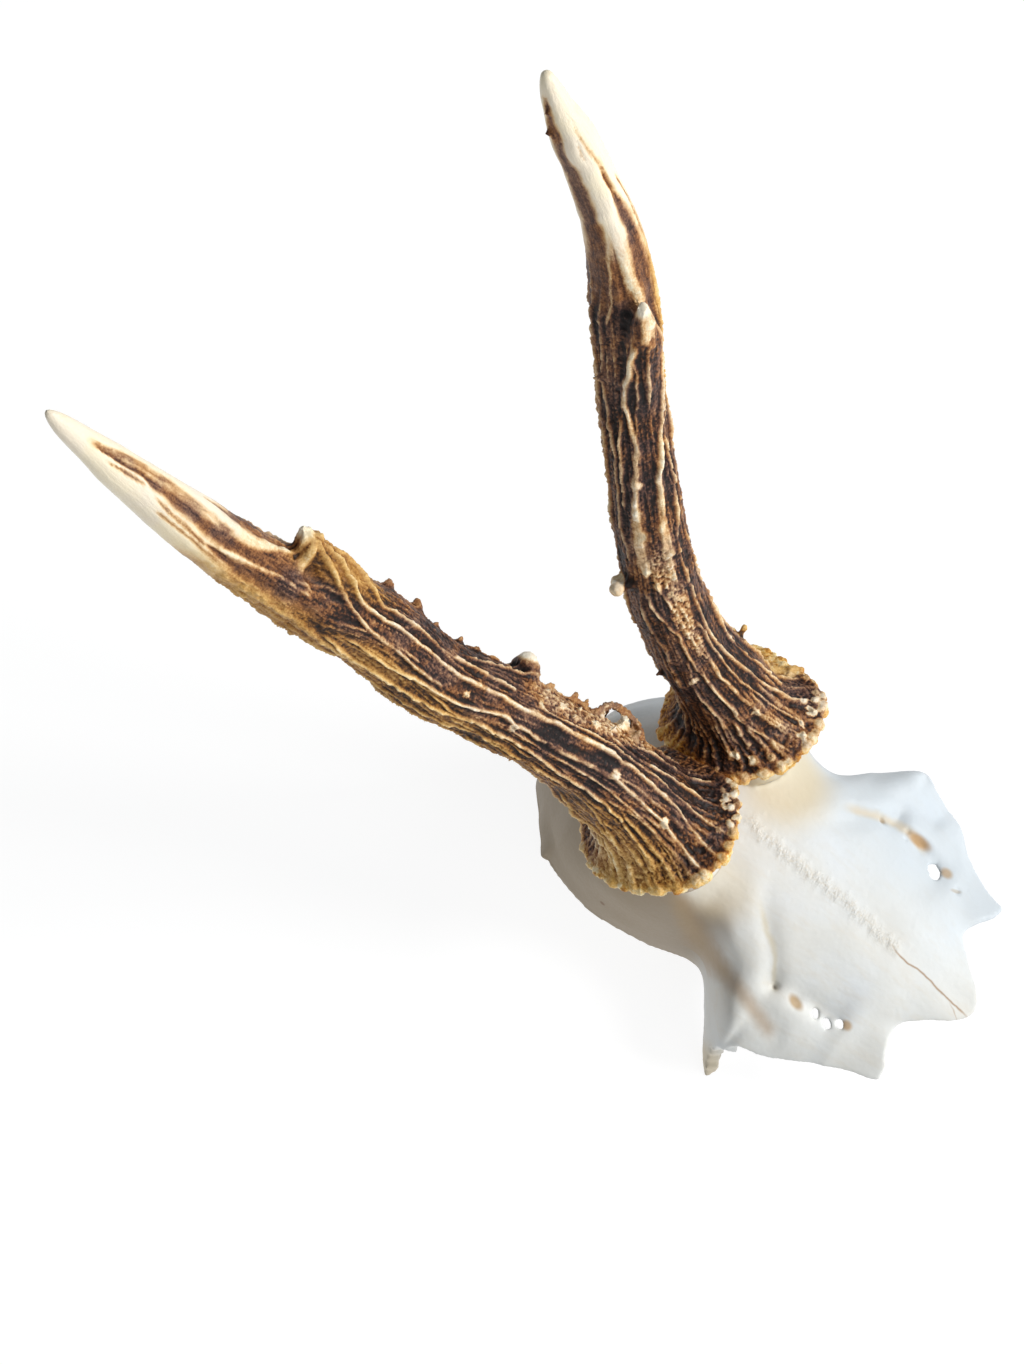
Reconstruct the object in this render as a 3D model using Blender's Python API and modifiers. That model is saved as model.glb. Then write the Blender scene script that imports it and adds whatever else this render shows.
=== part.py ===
"""Roe deer skull cap with its two antlers, standing on its sawn rim.

+Z is up, -Y points to the nose and +X to the deer's left. The origin is on the table, on the midline,
in the middle of the sawn rear rim. Lengths in the tables below are millimetres.
"""

import math
import random

import bmesh
import bpy
from mathutils import Matrix, Vector

MM = 0.001
SEAT_GAP = 0.3
OBJECT_NAME = "roe_deer_skull"

# Skull cap. Each row is one cross-section from the midline out to the deer's left edge, front to rear.
SKULL_SECTIONS = (
    ((0, -121, 22), (4.5, -118.5, 22.8), (9, -113, 23), (13.5, -108.5, 22.5),
     (18, -109.5, 22), (22.5, -112, 20.5), (26, -112.5, 19)),
    ((0, -109, 26), (5.5, -108, 26), (11, -106, 25.3), (15.5, -104, 24),
     (19.5, -104, 22.5), (23.5, -105, 21), (27.3, -105.5, 19)),
    ((0, -101, 28.5), (6.5, -101, 28.3), (13, -100, 27), (18.5, -99.5, 24.8),
     (23, -99.5, 22.8), (26.8, -99.5, 21), (30, -99.5, 18.6)),
    ((0, -95, 30.3), (7, -95, 30), (14, -94.5, 28.2), (20, -94.5, 25),
     (25.5, -94.5, 23), (30.5, -94.5, 20.8), (34.5, -94, 18)),
    ((0, -88, 32.3), (8, -88, 31.9), (15.5, -88, 29.8), (22, -88, 27),
     (28, -88, 25), (33.5, -88, 22), (38.3, -87.5, 17.5)),
    ((0, -81, 34), (8.5, -81, 33.6), (16.5, -81, 31.7), (23.5, -81, 29),
     (29.5, -81, 27.2), (36, -80.5, 23.5), (41.5, -80, 17)),
    ((0, -74, 35.8), (9, -74, 35.3), (17.5, -74, 33.5), (25, -74, 31),
     (32, -75, 27.3), (39.5, -77, 20.5), (47.5, -79, -2)),
    ((0, -66, 37.8), (9, -66, 37.3), (17.5, -66, 35.5), (24.5, -67, 32),
     (29, -68, 25), (33, -69, 16), (35.5, -70, 4)),
    ((0, -57, 39.8), (9, -57, 39.3), (17, -58, 37.3), (23, -59, 32.5),
     (26, -60, 23), (27.3, -61, 11), (26.5, -62, -2)),
    ((0, -46, 41.3), (8.5, -46, 41.2), (17, -46.5, 40.8), (24.8, -46.5, 37),
     (28.8, -47, 26), (30, -47.5, 12), (30, -48, -2)),
    ((0, -34, 41.3), (8.5, -34, 41), (16.5, -34, 40), (24.3, -34, 36),
     (29.3, -34.5, 26), (31, -34.5, 12.5), (31.5, -35, -2)),
    ((0, -23, 38.5), (7.5, -23, 38), (14.5, -23.5, 36), (20.8, -24, 31.5),
     (25.7, -23.5, 22.5), (28.3, -22.5, 11), (29, -21.5, -2)),
    ((0, -12.5, 32.5), (5.5, -12.5, 32), (11, -13, 29.8), (15.8, -13.5, 25.5),
     (20, -13, 18.5), (23, -12, 9.5), (24.2, -10.5, -2)),
    ((0, -4.5, 23), (3.8, -4.5, 22.7), (7.4, -5, 21), (10.8, -5.2, 17.8),
     (13.8, -5, 13), (16.3, -4, 6.5), (17.5, -2.8, -2)),
    ((0, 1.9, -2), (2.5, 1.9, -2), (5, 1.7, -2), (7.5, 1.4, -2),
     (9.8, 1, -2), (12, 0.4, -2), (14, -0.4, -2)),
)
SKULL_ACROSS = 26
SKULL_ALONG = 28
SKULL_THICKEST = 8.0
FRONT_EDGE_THICKNESS = 2.0
RIM_THICKNESS = 3.6
SAW_DEPTH = 10.0

# Dents in the brow, mirrored on both sides: x, y, half-length, half-width, turn in degrees, depth.
BROW_DENTS = (
    (19.0, -74.0, 9.0, 2.4, 40.0, 1.3),
    (25.0, -79.5, 3.0, 2.6, 0.0, 2.2),
    (22.5, -90.0, 6.5, 2.4, 100.0, 1.6),
)
# The raised seam between the two frontal bones.
SEAM_START = -55.0
SEAM_END = -100.0
SEAM_HEIGHT = 0.6

# Small see-through holes in each brow: x, y, length, width.
BROW_HOLES = (
    (20.8, -92.8, 2.6, 1.9),
    (23.3, -95.6, 2.4, 1.7),
    (25.4, -97.6, 2.0, 1.4),
)
HOLE_CORNERS = 8

# Antlers. The first point of each path is the middle of the burr, the last is the tip.
RIGHT_PATH = (
    (-16.5, -38.5, 52.5), (-18.5, -28, 66), (-22, -18, 79.5), (-26.5, -8.5, 91.5),
    (-32, 2, 105.5), (-37, 10.5, 118), (-41, 21.5, 135), (-47.5, 31, 150.5),
    (-53, 40.5, 166.5), (-57, 48.5, 182), (-60.5, 56, 196.5), (-63.5, 63.5, 211),
)
LEFT_PATH = (
    (17.5, -37.5, 50.5), (14.5, -30, 69), (12, -23, 84), (11.3, -18, 97),
    (11.8, -13, 109), (15.3, -5.5, 130.5), (19.4, 1.5, 149.5), (24, 8, 167.5),
    (29, 15, 185), (31.3, 23.5, 201), (31.8, 31.5, 214), (32.6, 35.2, 220.5),
)
# Which way the burr faces.
RIGHT_BURR_AXIS = (-0.12, 0.42, 0.90)
LEFT_BURR_AXIS = (0.06, 0.37, 0.93)
# Radius over the ridges at each distance from the middle of the burr, which the seat lies below.
SEAT_DROP = 4.5
BURR_PROFILE = (
    (-4.5, 12.0), (-3.4, 14.5), (-2.0, 17.4), (-0.6, 18.9), (0.8, 19.1), (2.4, 17.8), (4.4, 15.4), (8.0, 13.0),
)
RIGHT_SHAFT_PROFILE = (
    (14.0, 12.0), (25.0, 11.2), (37.0, 10.4), (50.0, 9.8), (63.0, 9.5), (84.0, 9.1), (100.0, 9.1), (115.0, 8.6),
    (125.0, 7.7), (134.0, 7.0), (144.0, 6.6), (153.0, 5.9), (161.0, 5.1), (170.0, 4.4), (178.0, 3.5), (186.0, 2.5),
)
LEFT_SHAFT_PROFILE = (
    (14.0, 11.4), (25.0, 10.3), (37.0, 9.3), (51.0, 8.8), (64.0, 8.4), (75.0, 8.1), (98.0, 7.5), (127.0, 7.0),
    (137.0, 6.8), (147.0, 6.0), (157.0, 4.9), (165.0, 4.4), (173.0, 3.9), (180.0, 3.1),
)
RIGHT_TIP_PROFILE = ((192.5, 1.4), (195.0, 0.0))
LEFT_TIP_PROFILE = ((185.8, 1.7), (188.3, 0.0))
RIDGES = 9
COLUMNS_PER_RIDGE = 3
RINGS = 50
BURR_RINGS = 9
RIDGE_DEPTH = 1.5
RIDGES_FADE_FROM = 0.72
RIDGES_FADE_TO = 0.88
BURR_LUMP = 1.5
# The burrs meet over the midline, where each is flattened and stays this far from the middle.
BURR_CLEARANCE = 0.3

# Tine: point inside the shaft, tip, base radius.
RIGHT_TINE = ((-43.2, 24.0, 139), (-40.5, 33.1, 164), 6.4)
LEFT_TINE = ((20.0, 2.2, 151), (23.2, 5.0, 187), 5.4)
# Thorns: tip, radius of the base, distance of the base along the antler's path.
RIGHT_THORNS = (
    ((-33.0, 22.4, 134.0), 1.6, 94.0),
    ((-30.2, 16.6, 127.0), 1.6, 85.0),
    ((-27.2, 8.2, 115.5), 1.8, 73.0),
    ((-18.5, -1.2, 101.0), 2.4, 57.0),
)
LEFT_THORNS = (
    ((1.5, -8.9, 115.5), 1.9, 66.0),
    ((23.5, -28.0, 76.0), 1.8, 24.0),
    ((20.0, 11.6, 157.0), 1.5, 114.0),
)
THORN_SIDES = 6
# Distance below the seat and radius of each ring of a pedicle, whose foot is inside the skull's thickness.
PEDICLE_SECTIONS = ((0.0, 11.6), (4.0, 11.2), (8.0, 11.6), (10.4, 9.4), (11.8, 6.0))
PEDICLE_SIDES = 24


def clear_scene():
    """Remove what the startup file holds."""
    for obj in list(bpy.data.objects):
        bpy.data.objects.remove(obj, do_unlink=True)


def new_collection(name, helper=False):
    collection = bpy.data.collections.new(name)
    collection.hide_render = helper
    bpy.context.scene.collection.children.link(collection)
    return collection


def new_object(name, shape, collection):
    """An object from a bmesh, which is freed."""
    mesh = bpy.data.meshes.new(name)
    shape.to_mesh(mesh)
    shape.free()
    obj = bpy.data.objects.new(name, mesh)
    collection.objects.link(obj)
    return obj


def principled(name, colour, roughness):
    material = bpy.data.materials.new(name)
    material.use_nodes = True
    shader = material.node_tree.nodes["Principled BSDF"]
    shader.inputs["Base Color"].default_value = (*colour, 1.0)
    shader.inputs["Roughness"].default_value = roughness
    return material


def blend(rows, position):
    """Catmull-Rom between equally spaced rows of Vectors, position in rows."""
    low = min(int(position), len(rows) - 2)
    share = position - low
    before = rows[max(low - 1, 0)]
    after = rows[min(low + 2, len(rows) - 1)]
    start, end = rows[low], rows[low + 1]
    slope_in = (end - before) * 0.5
    slope_out = (after - start) * 0.5
    square, cube = share * share, share ** 3
    return (start * (2 * cube - 3 * square + 1) + slope_in * (cube - 2 * square + share)
            + end * (3 * square - 2 * cube) + slope_out * (cube - square))


def table_value(table, position):
    """Straight-line reading of a table of (position, value) rows."""
    for (low, first), (high, last) in zip(table, table[1:]):
        if position <= high:
            return first + (last - first) * max(position - low, 0.0) / (high - low)
    return table[-1][1]


def smooth_step(low, high, value):
    share = min(max((value - low) / (high - low), 0.0), 1.0)
    return share * share * (3 - 2 * share)


def dent_depth(x, y):
    """How far the brow dents and the raised seam move the skull surface inwards."""
    depth = 0.0
    for dent_x, dent_y, half_length, half_width, turn, deepest in BROW_DENTS:
        angle = math.radians(turn)
        across = (x - dent_x) * math.cos(angle) - (y - dent_y) * math.sin(angle)
        along = (x - dent_x) * math.sin(angle) + (y - dent_y) * math.cos(angle)
        depth += deepest * math.exp(-(across / half_length) ** 2 - (along / half_width) ** 2)
    seam = smooth_step(SEAM_END - 6, SEAM_END, y) * (1 - smooth_step(SEAM_START - 4, SEAM_START, y))
    wave = 0.8 * math.sin(y * 0.9)
    return depth - SEAM_HEIGHT * seam * math.exp(-((x - wave) / 1.6) ** 2)


def skull_point(across, along):
    """Point on the outside of the skull. across runs right edge to left edge, along front to rear."""
    side = 2 * across - 1
    columns = len(SKULL_SECTIONS[0])
    rows = [[Vector(point) for point in column] for column in zip(*SKULL_SECTIONS)]
    position = along * (len(SKULL_SECTIONS) - 1)
    section = [blend(rows[column], position) for column in range(columns)]
    mirrored = [Vector((-point.x, point.y, point.z)) for point in section[1:2]]
    point = blend(mirrored + section, 1 + abs(side) * (columns - 1))
    point.z -= dent_depth(point.x, point.y)
    if side < 0:
        point.x = -point.x
    return point * MM


def grid_sheet(columns, rows, place):
    """A grid whose points are moved to place(share across, share along)."""
    sheet = bmesh.new()
    bmesh.ops.create_grid(sheet, x_segments=columns, y_segments=rows, size=1.0)
    for vertex in sheet.verts:
        vertex.co = place((vertex.co.x + 1) / 2, (vertex.co.y + 1) / 2)
    bmesh.ops.recalc_face_normals(sheet, faces=sheet.faces)
    return sheet


def ring_tube(columns, rows, place):
    """A tube from a grid: place(share around, share along) puts each point, and both ends are closed."""
    tube = grid_sheet(columns, rows, place)
    bmesh.ops.remove_doubles(tube, verts=tube.verts, dist=0.00001)
    edges = [edge for edge in tube.edges if edge.is_boundary]
    bmesh.ops.holes_fill(tube, edges=edges, sides=0)
    bmesh.ops.recalc_face_normals(tube, faces=tube.faces)
    return tube


def bone_thickness(point):
    """Thin at the front edge, thick under the pedicles, a saw-cut wall's thickness elsewhere."""
    y = point.y / MM
    thickness = FRONT_EDGE_THICKNESS + (RIM_THICKNESS - FRONT_EDGE_THICKNESS) * smooth_step(-118, -85, y)
    for path in (RIGHT_PATH, LEFT_PATH):
        offset = Vector((point.x / MM - path[0][0], (y - path[0][1]) * 0.9, (point.z / MM - 38) * 0.8))
        thickness += (SKULL_THICKEST - RIM_THICKNESS) * (1 - smooth_step(8, 20, offset.length))
    return min(thickness, SKULL_THICKEST)


def skull_sheet(collection):
    """The outside of the skull with a thickness: the bone as a shell."""
    sheet = grid_sheet(SKULL_ACROSS, SKULL_ALONG, skull_point)
    middle = min(sheet.faces, key=lambda face: (face.calc_center_median() - Vector((0, -0.05, 0.04))).length)
    if middle.normal.z < 0:
        bmesh.ops.reverse_faces(sheet, faces=sheet.faces)
    skull = new_object("skull_cap", sheet, collection)
    group = skull.vertex_groups.new(name="thickness")
    for vertex in skull.data.vertices:
        group.add([vertex.index], bone_thickness(vertex.co) / SKULL_THICKEST, "REPLACE")
    shell = skull.modifiers.new("Bone thickness", "SOLIDIFY")
    shell.thickness = SKULL_THICKEST * MM
    shell.offset = -1.0
    shell.vertex_group = "thickness"
    return skull


def add_boolean(obj, other, operation):
    modifier = obj.modifiers.new(other.name, "BOOLEAN")
    modifier.operation = operation
    modifier.solver = "EXACT"
    modifier.object = other


def saw_block(helpers):
    """The block that takes away everything under the table plane."""
    block = bmesh.new()
    size = (160 * MM, 200 * MM, SAW_DEPTH * MM)
    place = Matrix.Translation((0, -60 * MM, -SAW_DEPTH * MM / 2)) @ Matrix.Diagonal((*size, 1.0))
    bmesh.ops.create_cube(block, size=1.0, matrix=place)
    return new_object("saw_block", block, helpers)


def hole_pin(name, side, row, helpers):
    """An upright oval pin that cuts one of the small brow holes."""
    x, y, length, width = row
    pin = bmesh.new()
    bmesh.ops.create_cone(pin, segments=HOLE_CORNERS, cap_ends=True, radius1=1.0, radius2=1.0, depth=30 * MM)
    shape = Matrix.Diagonal((width / 2 * MM, length / 2 * MM, 1.0, 1.0))
    place = Matrix.Translation((side * x * MM, y * MM, 22 * MM)) @ Matrix.Rotation(side * 0.6, 4, "Z") @ shape
    bmesh.ops.transform(pin, matrix=place, verts=pin.verts)
    return new_object(name, pin, helpers)


def axis_frame(axis):
    """The unit axis with the two directions across it: towards the nose, then sideways."""
    forward = Vector((0, -1, 0))
    forward = (forward - axis * forward.dot(axis)).normalized()
    return axis, forward, axis.cross(forward)


def pedicle(name, burr_centre, burr_axis, helpers):
    """The bony stem under one antler, which joins the skull."""
    axis, forward, sideways = axis_frame(Vector(burr_axis).normalized())
    top = Vector(burr_centre) - axis * (SEAT_DROP + SEAT_GAP)
    rows = len(PEDICLE_SECTIONS) - 1

    def place(around, along):
        depth, radius = PEDICLE_SECTIONS[round(along * rows)]
        angle = around * math.tau
        ring = forward * math.cos(angle) + sideways * math.sin(angle)
        sink = Vector((0, -1, 0)) * depth * 0.15
        return (top - axis * depth + sink + ring * radius) * MM

    return new_object(name, ring_tube(PEDICLE_SIDES, rows, place), helpers)


def build_skull(parts, helpers):
    skull = skull_sheet(parts)
    for name, path, axis in (
        ("pedicle_right", RIGHT_PATH, RIGHT_BURR_AXIS),
        ("pedicle_left", LEFT_PATH, LEFT_BURR_AXIS),
    ):
        add_boolean(skull, pedicle(name, path[0], axis, helpers), "UNION")
    for side in (-1, 1):
        for number, row in enumerate(BROW_HOLES):
            add_boolean(skull, hole_pin(f"hole_{number}_{side}", side, row, helpers), "DIFFERENCE")
    add_boolean(skull, saw_block(helpers), "DIFFERENCE")
    return skull


def path_lengths(points):
    lengths = [0.0]
    for first, last in zip(points, points[1:]):
        lengths.append(lengths[-1] + (last - first).length)
    return lengths


def path_point(points, lengths, distance):
    """Point on the antler's path at a distance from the burr; below the burr it goes straight on."""
    position = 0.0
    for index, (low, high) in enumerate(zip(lengths, lengths[1:])):
        if distance >= low:
            position = index + min((distance - low) / (high - low), 1.0)
    return blend(points, position)


def antler_frame(points, lengths, burr_axis, distance):
    """Centre and directions of the ring at one distance along an antler."""
    here = path_point(points, lengths, max(distance, 0.0))
    step = 1.5
    ahead = path_point(points, lengths, min(distance + step, lengths[-1]))
    behind = path_point(points, lengths, max(min(distance, lengths[-1] - step) - step, 0.0))
    share = smooth_step(2.0, 16.0, distance)
    axis = (burr_axis.lerp((ahead - behind).normalized(), share)).normalized()
    centre = here + burr_axis * min(distance, 0.0)
    return (centre, *axis_frame(axis))


def ring_distances(length):
    """Distance of each ring of points: close together over the burr, wider apart along the shaft."""
    burr_top = BURR_PROFILE[-1][0]
    burr = [burr_top + (row - BURR_RINGS) * (burr_top + SEAT_DROP) / BURR_RINGS for row in range(BURR_RINGS)]
    shaft_rings = RINGS - BURR_RINGS
    shaft = [burr_top + (length - burr_top) * (row / shaft_rings) for row in range(shaft_rings + 1)]
    return burr + shaft


def antler_tube(path, burr_axis, profile, chance):
    """The ridged shaft of one antler with its lumpy burr."""
    points = [Vector(point) for point in path]
    lengths = path_lengths(points)
    axis = Vector(burr_axis).normalized()
    columns = RIDGES * COLUMNS_PER_RIDGE
    distances = ring_distances(lengths[-1])
    wander = [[chance.uniform(-1, 1) for _ in range(8)] for _ in range(RIDGES)]
    lumps = [[chance.uniform(0, 1) for _ in range(columns)] for _ in distances]

    def place(around, along):
        row = round(along * RINGS)
        column = round(around * columns) % columns
        distance = distances[row]
        centre, _, forward, sideways = antler_frame(points, lengths, axis, distance)
        share = distance / lengths[-1]
        ridge = column // COLUMNS_PER_RIDGE
        drift = table_value(list(enumerate(wander[ridge])), max(share, 0.0) * 7)
        angle = (column + 0.7 * drift * smooth_step(0.02, 0.15, share)) * math.tau / columns
        radius = table_value(profile, distance)
        fade = smooth_step(0.02, 0.08, share) * (1 - smooth_step(RIDGES_FADE_FROM, RIDGES_FADE_TO, share))
        on_crest = column % COLUMNS_PER_RIDGE == 1
        if not on_crest:
            radius -= RIDGE_DEPTH * fade * (0.6 + 0.4 * lumps[row][column])
        else:
            radius += 0.5 * fade * (lumps[row][column] - 0.5)
        at_burr = smooth_step(-4.4, -2.0, distance) * (1 - smooth_step(4.0, 9.0, distance))
        radius += BURR_LUMP * at_burr * (lumps[row][column] - 0.6)
        point = centre + (forward * math.cos(angle) + sideways * math.sin(angle)) * radius
        side = math.copysign(1, points[0].x)
        point.x = side * max(side * point.x, BURR_CLEARANCE + 0.25 * lumps[row][column])
        return point * MM

    return ring_tube(columns, RINGS, place)


def spike(name, base, tip, radius, sides, helpers):
    """A tapered point from base to tip, rounded by a narrower last ring."""
    base, tip = Vector(base), Vector(tip)
    axis, forward, sideways = axis_frame((tip - base).normalized())
    length = (tip - base).length
    rings = ((0.0, 1.0), (0.35, 0.82), (0.7, 0.5), (0.94, 0.22), (1.0, 0.0))

    def place(around, along):
        share, width = rings[round(along * (len(rings) - 1))]
        angle = around * math.tau
        ring = forward * math.cos(angle) + sideways * math.sin(angle)
        return (base + axis * length * share + ring * radius * width) * MM

    return new_object(name, ring_tube(sides, len(rings) - 1, place), helpers)


def build_antler(name, path, burr_axis, profile, tine, thorns, seed, parts, helpers):
    """One whole antler: shaft, burr, tine and thorns as one piece."""
    antler = new_object(name, antler_tube(path, burr_axis, profile, random.Random(seed)), parts)
    base, tip, radius = tine
    add_boolean(antler, spike(f"{name}_tine", base, tip, radius, 10, helpers), "UNION")
    points = [Vector(point) for point in path]
    lengths = path_lengths(points)
    for number, (thorn_tip, thorn_radius, distance) in enumerate(thorns):
        root = path_point(points, lengths, distance).lerp(Vector(thorn_tip), 0.35)
        thorn = spike(f"{name}_thorn_{number}", root, thorn_tip, thorn_radius, THORN_SIDES, helpers)
        add_boolean(antler, thorn, "UNION")
    return antler


def main():
    clear_scene()
    parts = new_collection(OBJECT_NAME)
    helpers = new_collection("helpers", helper=True)
    bone = principled("bleached_bone", (0.80, 0.76, 0.68), 0.55)
    horn = principled("antler_bone", (0.36, 0.25, 0.15), 0.6)
    skull = build_skull(parts, helpers)
    right = build_antler(
        "antler_right", RIGHT_PATH, RIGHT_BURR_AXIS, BURR_PROFILE + RIGHT_SHAFT_PROFILE + RIGHT_TIP_PROFILE,
        RIGHT_TINE, RIGHT_THORNS, 11, parts, helpers)
    left = build_antler(
        "antler_left", LEFT_PATH, LEFT_BURR_AXIS, BURR_PROFILE + LEFT_SHAFT_PROFILE + LEFT_TIP_PROFILE,
        LEFT_TINE, LEFT_THORNS, 23, parts, helpers)
    skull.data.materials.append(bone)
    for antler in (right, left):
        antler.data.materials.append(horn)
    for obj in helpers.objects:
        obj.hide_render = True
        obj.display_type = "WIRE"
    for obj in parts.objects:
        obj.data.shade_smooth()
        obj.data.set_sharp_from_angle(angle=math.radians(50))


main()
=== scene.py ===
"""Visual model of a roe deer skull cap with its two antlers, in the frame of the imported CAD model.

+Z is up, -Y points to the nose and +X to the deer's left. The tables below are in millimetres and
degrees. A place on an antler is a distance from the middle of its burr along its path, and an angle
round the path that is 0 towards the nose and 90 towards the deer's left.
"""

import itertools
import math

import bmesh
import bpy
import numpy as np
from mathutils import Matrix, Vector


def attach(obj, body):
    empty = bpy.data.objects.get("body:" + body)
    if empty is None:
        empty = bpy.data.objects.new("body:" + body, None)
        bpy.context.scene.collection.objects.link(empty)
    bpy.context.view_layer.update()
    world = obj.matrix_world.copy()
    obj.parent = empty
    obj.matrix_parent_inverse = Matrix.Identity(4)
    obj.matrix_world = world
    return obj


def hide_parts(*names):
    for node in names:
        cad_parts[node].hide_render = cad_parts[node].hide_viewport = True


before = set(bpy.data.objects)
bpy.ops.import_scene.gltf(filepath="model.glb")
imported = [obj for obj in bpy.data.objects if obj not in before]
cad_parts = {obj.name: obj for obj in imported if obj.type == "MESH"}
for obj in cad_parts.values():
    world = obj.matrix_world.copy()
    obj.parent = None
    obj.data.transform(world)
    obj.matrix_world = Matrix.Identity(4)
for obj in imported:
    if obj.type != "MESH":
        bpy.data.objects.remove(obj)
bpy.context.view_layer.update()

MM = 0.001
NOISE_SIZE = 64
NOISE_TABLE = np.random.default_rng(5).uniform(-1, 1, (NOISE_SIZE,) * 3)

# Camera: direction from which it looks, as turn and height, its place, and its lens for a 36 mm frame.
CAMERA_TURN = -52
CAMERA_HEIGHT = 71
CAMERA_PLACE = (-141.5, -93.8, 535)
CAMERA_LENS = 58.02
# Lights: name, place in metres, size, power, colour.
LIGHTS = (
    ("key", (0.56, -0.70, 0.80), 0.35, 10.9, (1.0, 0.99, 0.97)),
    ("fill", (-0.15, -1.0, 0.8), 1.0, 5.2, (1.0, 1.0, 1.0)),
)
LIGHTS_AIM = (0, -0.02, 0.07)
SKY_COLOUR = (0.86, 0.94, 1.0, 1.0)
SKY_STRENGTH = 0.2
FLOOR_HALF_WIDTH = 6.0
FLOOR_LOOK = {
    "Base Color": (0.2, 0.2, 0.2, 1.0), "Roughness": 0.95, "Specular IOR Level": 0.0,
    "Emission Color": (1.0, 1.0, 1.0, 1.0), "Emission Strength": 0.88,
}

# Skull cap. Each row is one cross-section from the midline out to the deer's left edge, front to rear.
SKULL_SECTIONS = (
    ((0, -121, 22), (4.5, -118.5, 22.8), (9, -113, 23), (13.5, -108.5, 22.5), (18, -109.5, 22), (22.5, -112, 20.5),
     (26, -112.5, 19)),
    ((0, -109, 26), (5.5, -108, 26), (11, -106, 25.3), (15.5, -104, 24), (19.5, -104, 22.5), (23.5, -105, 21),
     (27.3, -105.5, 19)),
    ((0, -101, 28.5), (6.5, -101, 28.3), (13, -100, 27), (18.5, -99.5, 24.8), (23, -99.5, 22.8), (26.8, -99.5, 21),
     (30, -99.5, 18.6)),
    ((0, -95, 30.3), (7, -95, 30), (14, -94.5, 28.2), (20, -94.5, 25), (25.5, -94.5, 23), (30.5, -94.5, 20.8),
     (34.5, -94, 18)),
    ((0, -88, 32.3), (8, -88, 31.9), (15.5, -88, 29.8), (22, -88, 27), (28, -88, 25), (33.5, -88, 22),
     (38.3, -87.5, 17.5)),
    ((0, -81, 34), (8.5, -81, 33.6), (16.5, -81, 31.7), (23.5, -81, 29), (29.5, -81, 27.2), (36, -80.5, 23.5),
     (41.5, -80, 17)),
    ((0, -74, 35.8), (9, -74, 35.3), (17.5, -74, 33.5), (25, -74, 31), (32, -75, 27.3), (39.5, -77, 20.5),
     (47.5, -79, -2)),
    ((0, -66, 37.8), (9, -66, 37.3), (17.5, -66, 35.5), (24.5, -67, 32), (29, -68, 25), (33, -69, 16),
     (35.5, -70, 4)),
    ((0, -57, 39.8), (9, -57, 39.3), (17, -58, 37.3), (23, -59, 32.5), (26, -60, 23), (27.3, -61, 11),
     (26.5, -62, -2)),
    ((0, -46, 41.3), (8.5, -46, 41.2), (17, -46.5, 40.8), (24.8, -46.5, 37), (28.8, -47, 26), (30, -47.5, 12),
     (30, -48, -2)),
    ((0, -34, 41.3), (8.5, -34, 41), (16.5, -34, 40), (24.3, -34, 36), (29.3, -34.5, 26), (31, -34.5, 12.5),
     (31.5, -35, -2)),
    ((0, -23, 38.5), (7.5, -23, 38), (14.5, -23.5, 36), (20.8, -24, 31.5), (25.7, -23.5, 22.5), (28.3, -22.5, 11),
     (29, -21.5, -2)),
    ((0, -12.5, 32.5), (5.5, -12.5, 32), (11, -13, 29.8), (15.8, -13.5, 25.5), (20, -13, 18.5), (23, -12, 9.5),
     (24.2, -10.5, -2)),
    ((0, -4.5, 23), (3.8, -4.5, 22.7), (7.4, -5, 21), (10.8, -5.2, 17.8), (13.8, -5, 13), (16.3, -4, 6.5),
     (17.5, -2.8, -2)),
    ((0, 1.9, -2), (2.5, 1.9, -2), (5, 1.7, -2), (7.5, 1.4, -2), (9.8, 1, -2), (12, 0.4, -2), (14, -0.4, -2)),
)
# How much the rear lies nearer the brow than the sections put it, from the midline to the deer's left.
REAR_DRAWN_IN = 5
SKULL_ACROSS = 210
SKULL_ALONG = 240
SKULL_VOXEL = 0.52
SKULL_KEPT = 0.64
SKULL_THICKEST = 8
FRONT_EDGE_THICKNESS = 1.6
RIM_THICKNESS = 3.4
HOLE_EDGE_THICKNESS = 0.9
# Dents in the brow, mirrored on both sides: x, y, half-length, half-width, turn in degrees, depth.
BROW_DENTS = ((19, -74, 9, 2.4, 40, 0.6), (25, -79.5, 3, 2.6, 0, 1.6), (22.5, -90, 6.5, 2.4, 100, 1.4))
# How much further out the edge lies than the sections put it: distance along y, then mm.
LEFT_EDGE_REACH = (
    (-112, 0), (-108, 0.3), (-104, 1), (-98, 1.5), (-93, 1.9), (-88, 0.6), (-84, 0.8), (-78, 1.5), (-68, 2.8),
    (-62, 1), (-56, 0),
)
RIGHT_EDGE_REACH = (
    (-114, 0), (-110, 1.4), (-106, 1.8), (-100, 2), (-96, 0.6), (-91, 0), (-18, 0), (-13, -1.3), (-2, -1.5),
)
# The small corner with a nick at the rear right of the rim: distance along y, then mm.
RIM_CORNER = ((-40, 0), (-32, 0.8), (-18, 1.1), (-17.2, 1), (-16.2, 2.9), (-12.5, 1.5), (-7, 0))
RIM_CORNER_HEIGHT = 10
# See-through holes in the brow: side, x, y, length, width, turn in degrees.
BROW_HOLES = (
    (-1, 23.8, -91.9, 2.6, 1.7, -40), (-1, 23.8, -95.2, 2.9, 1.5, -40), (-1, 22.1, -97.4, 2.9, 1.5, -40),
    (1, 21.4, -94.4, 4.1, 3, 48),
)
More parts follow.
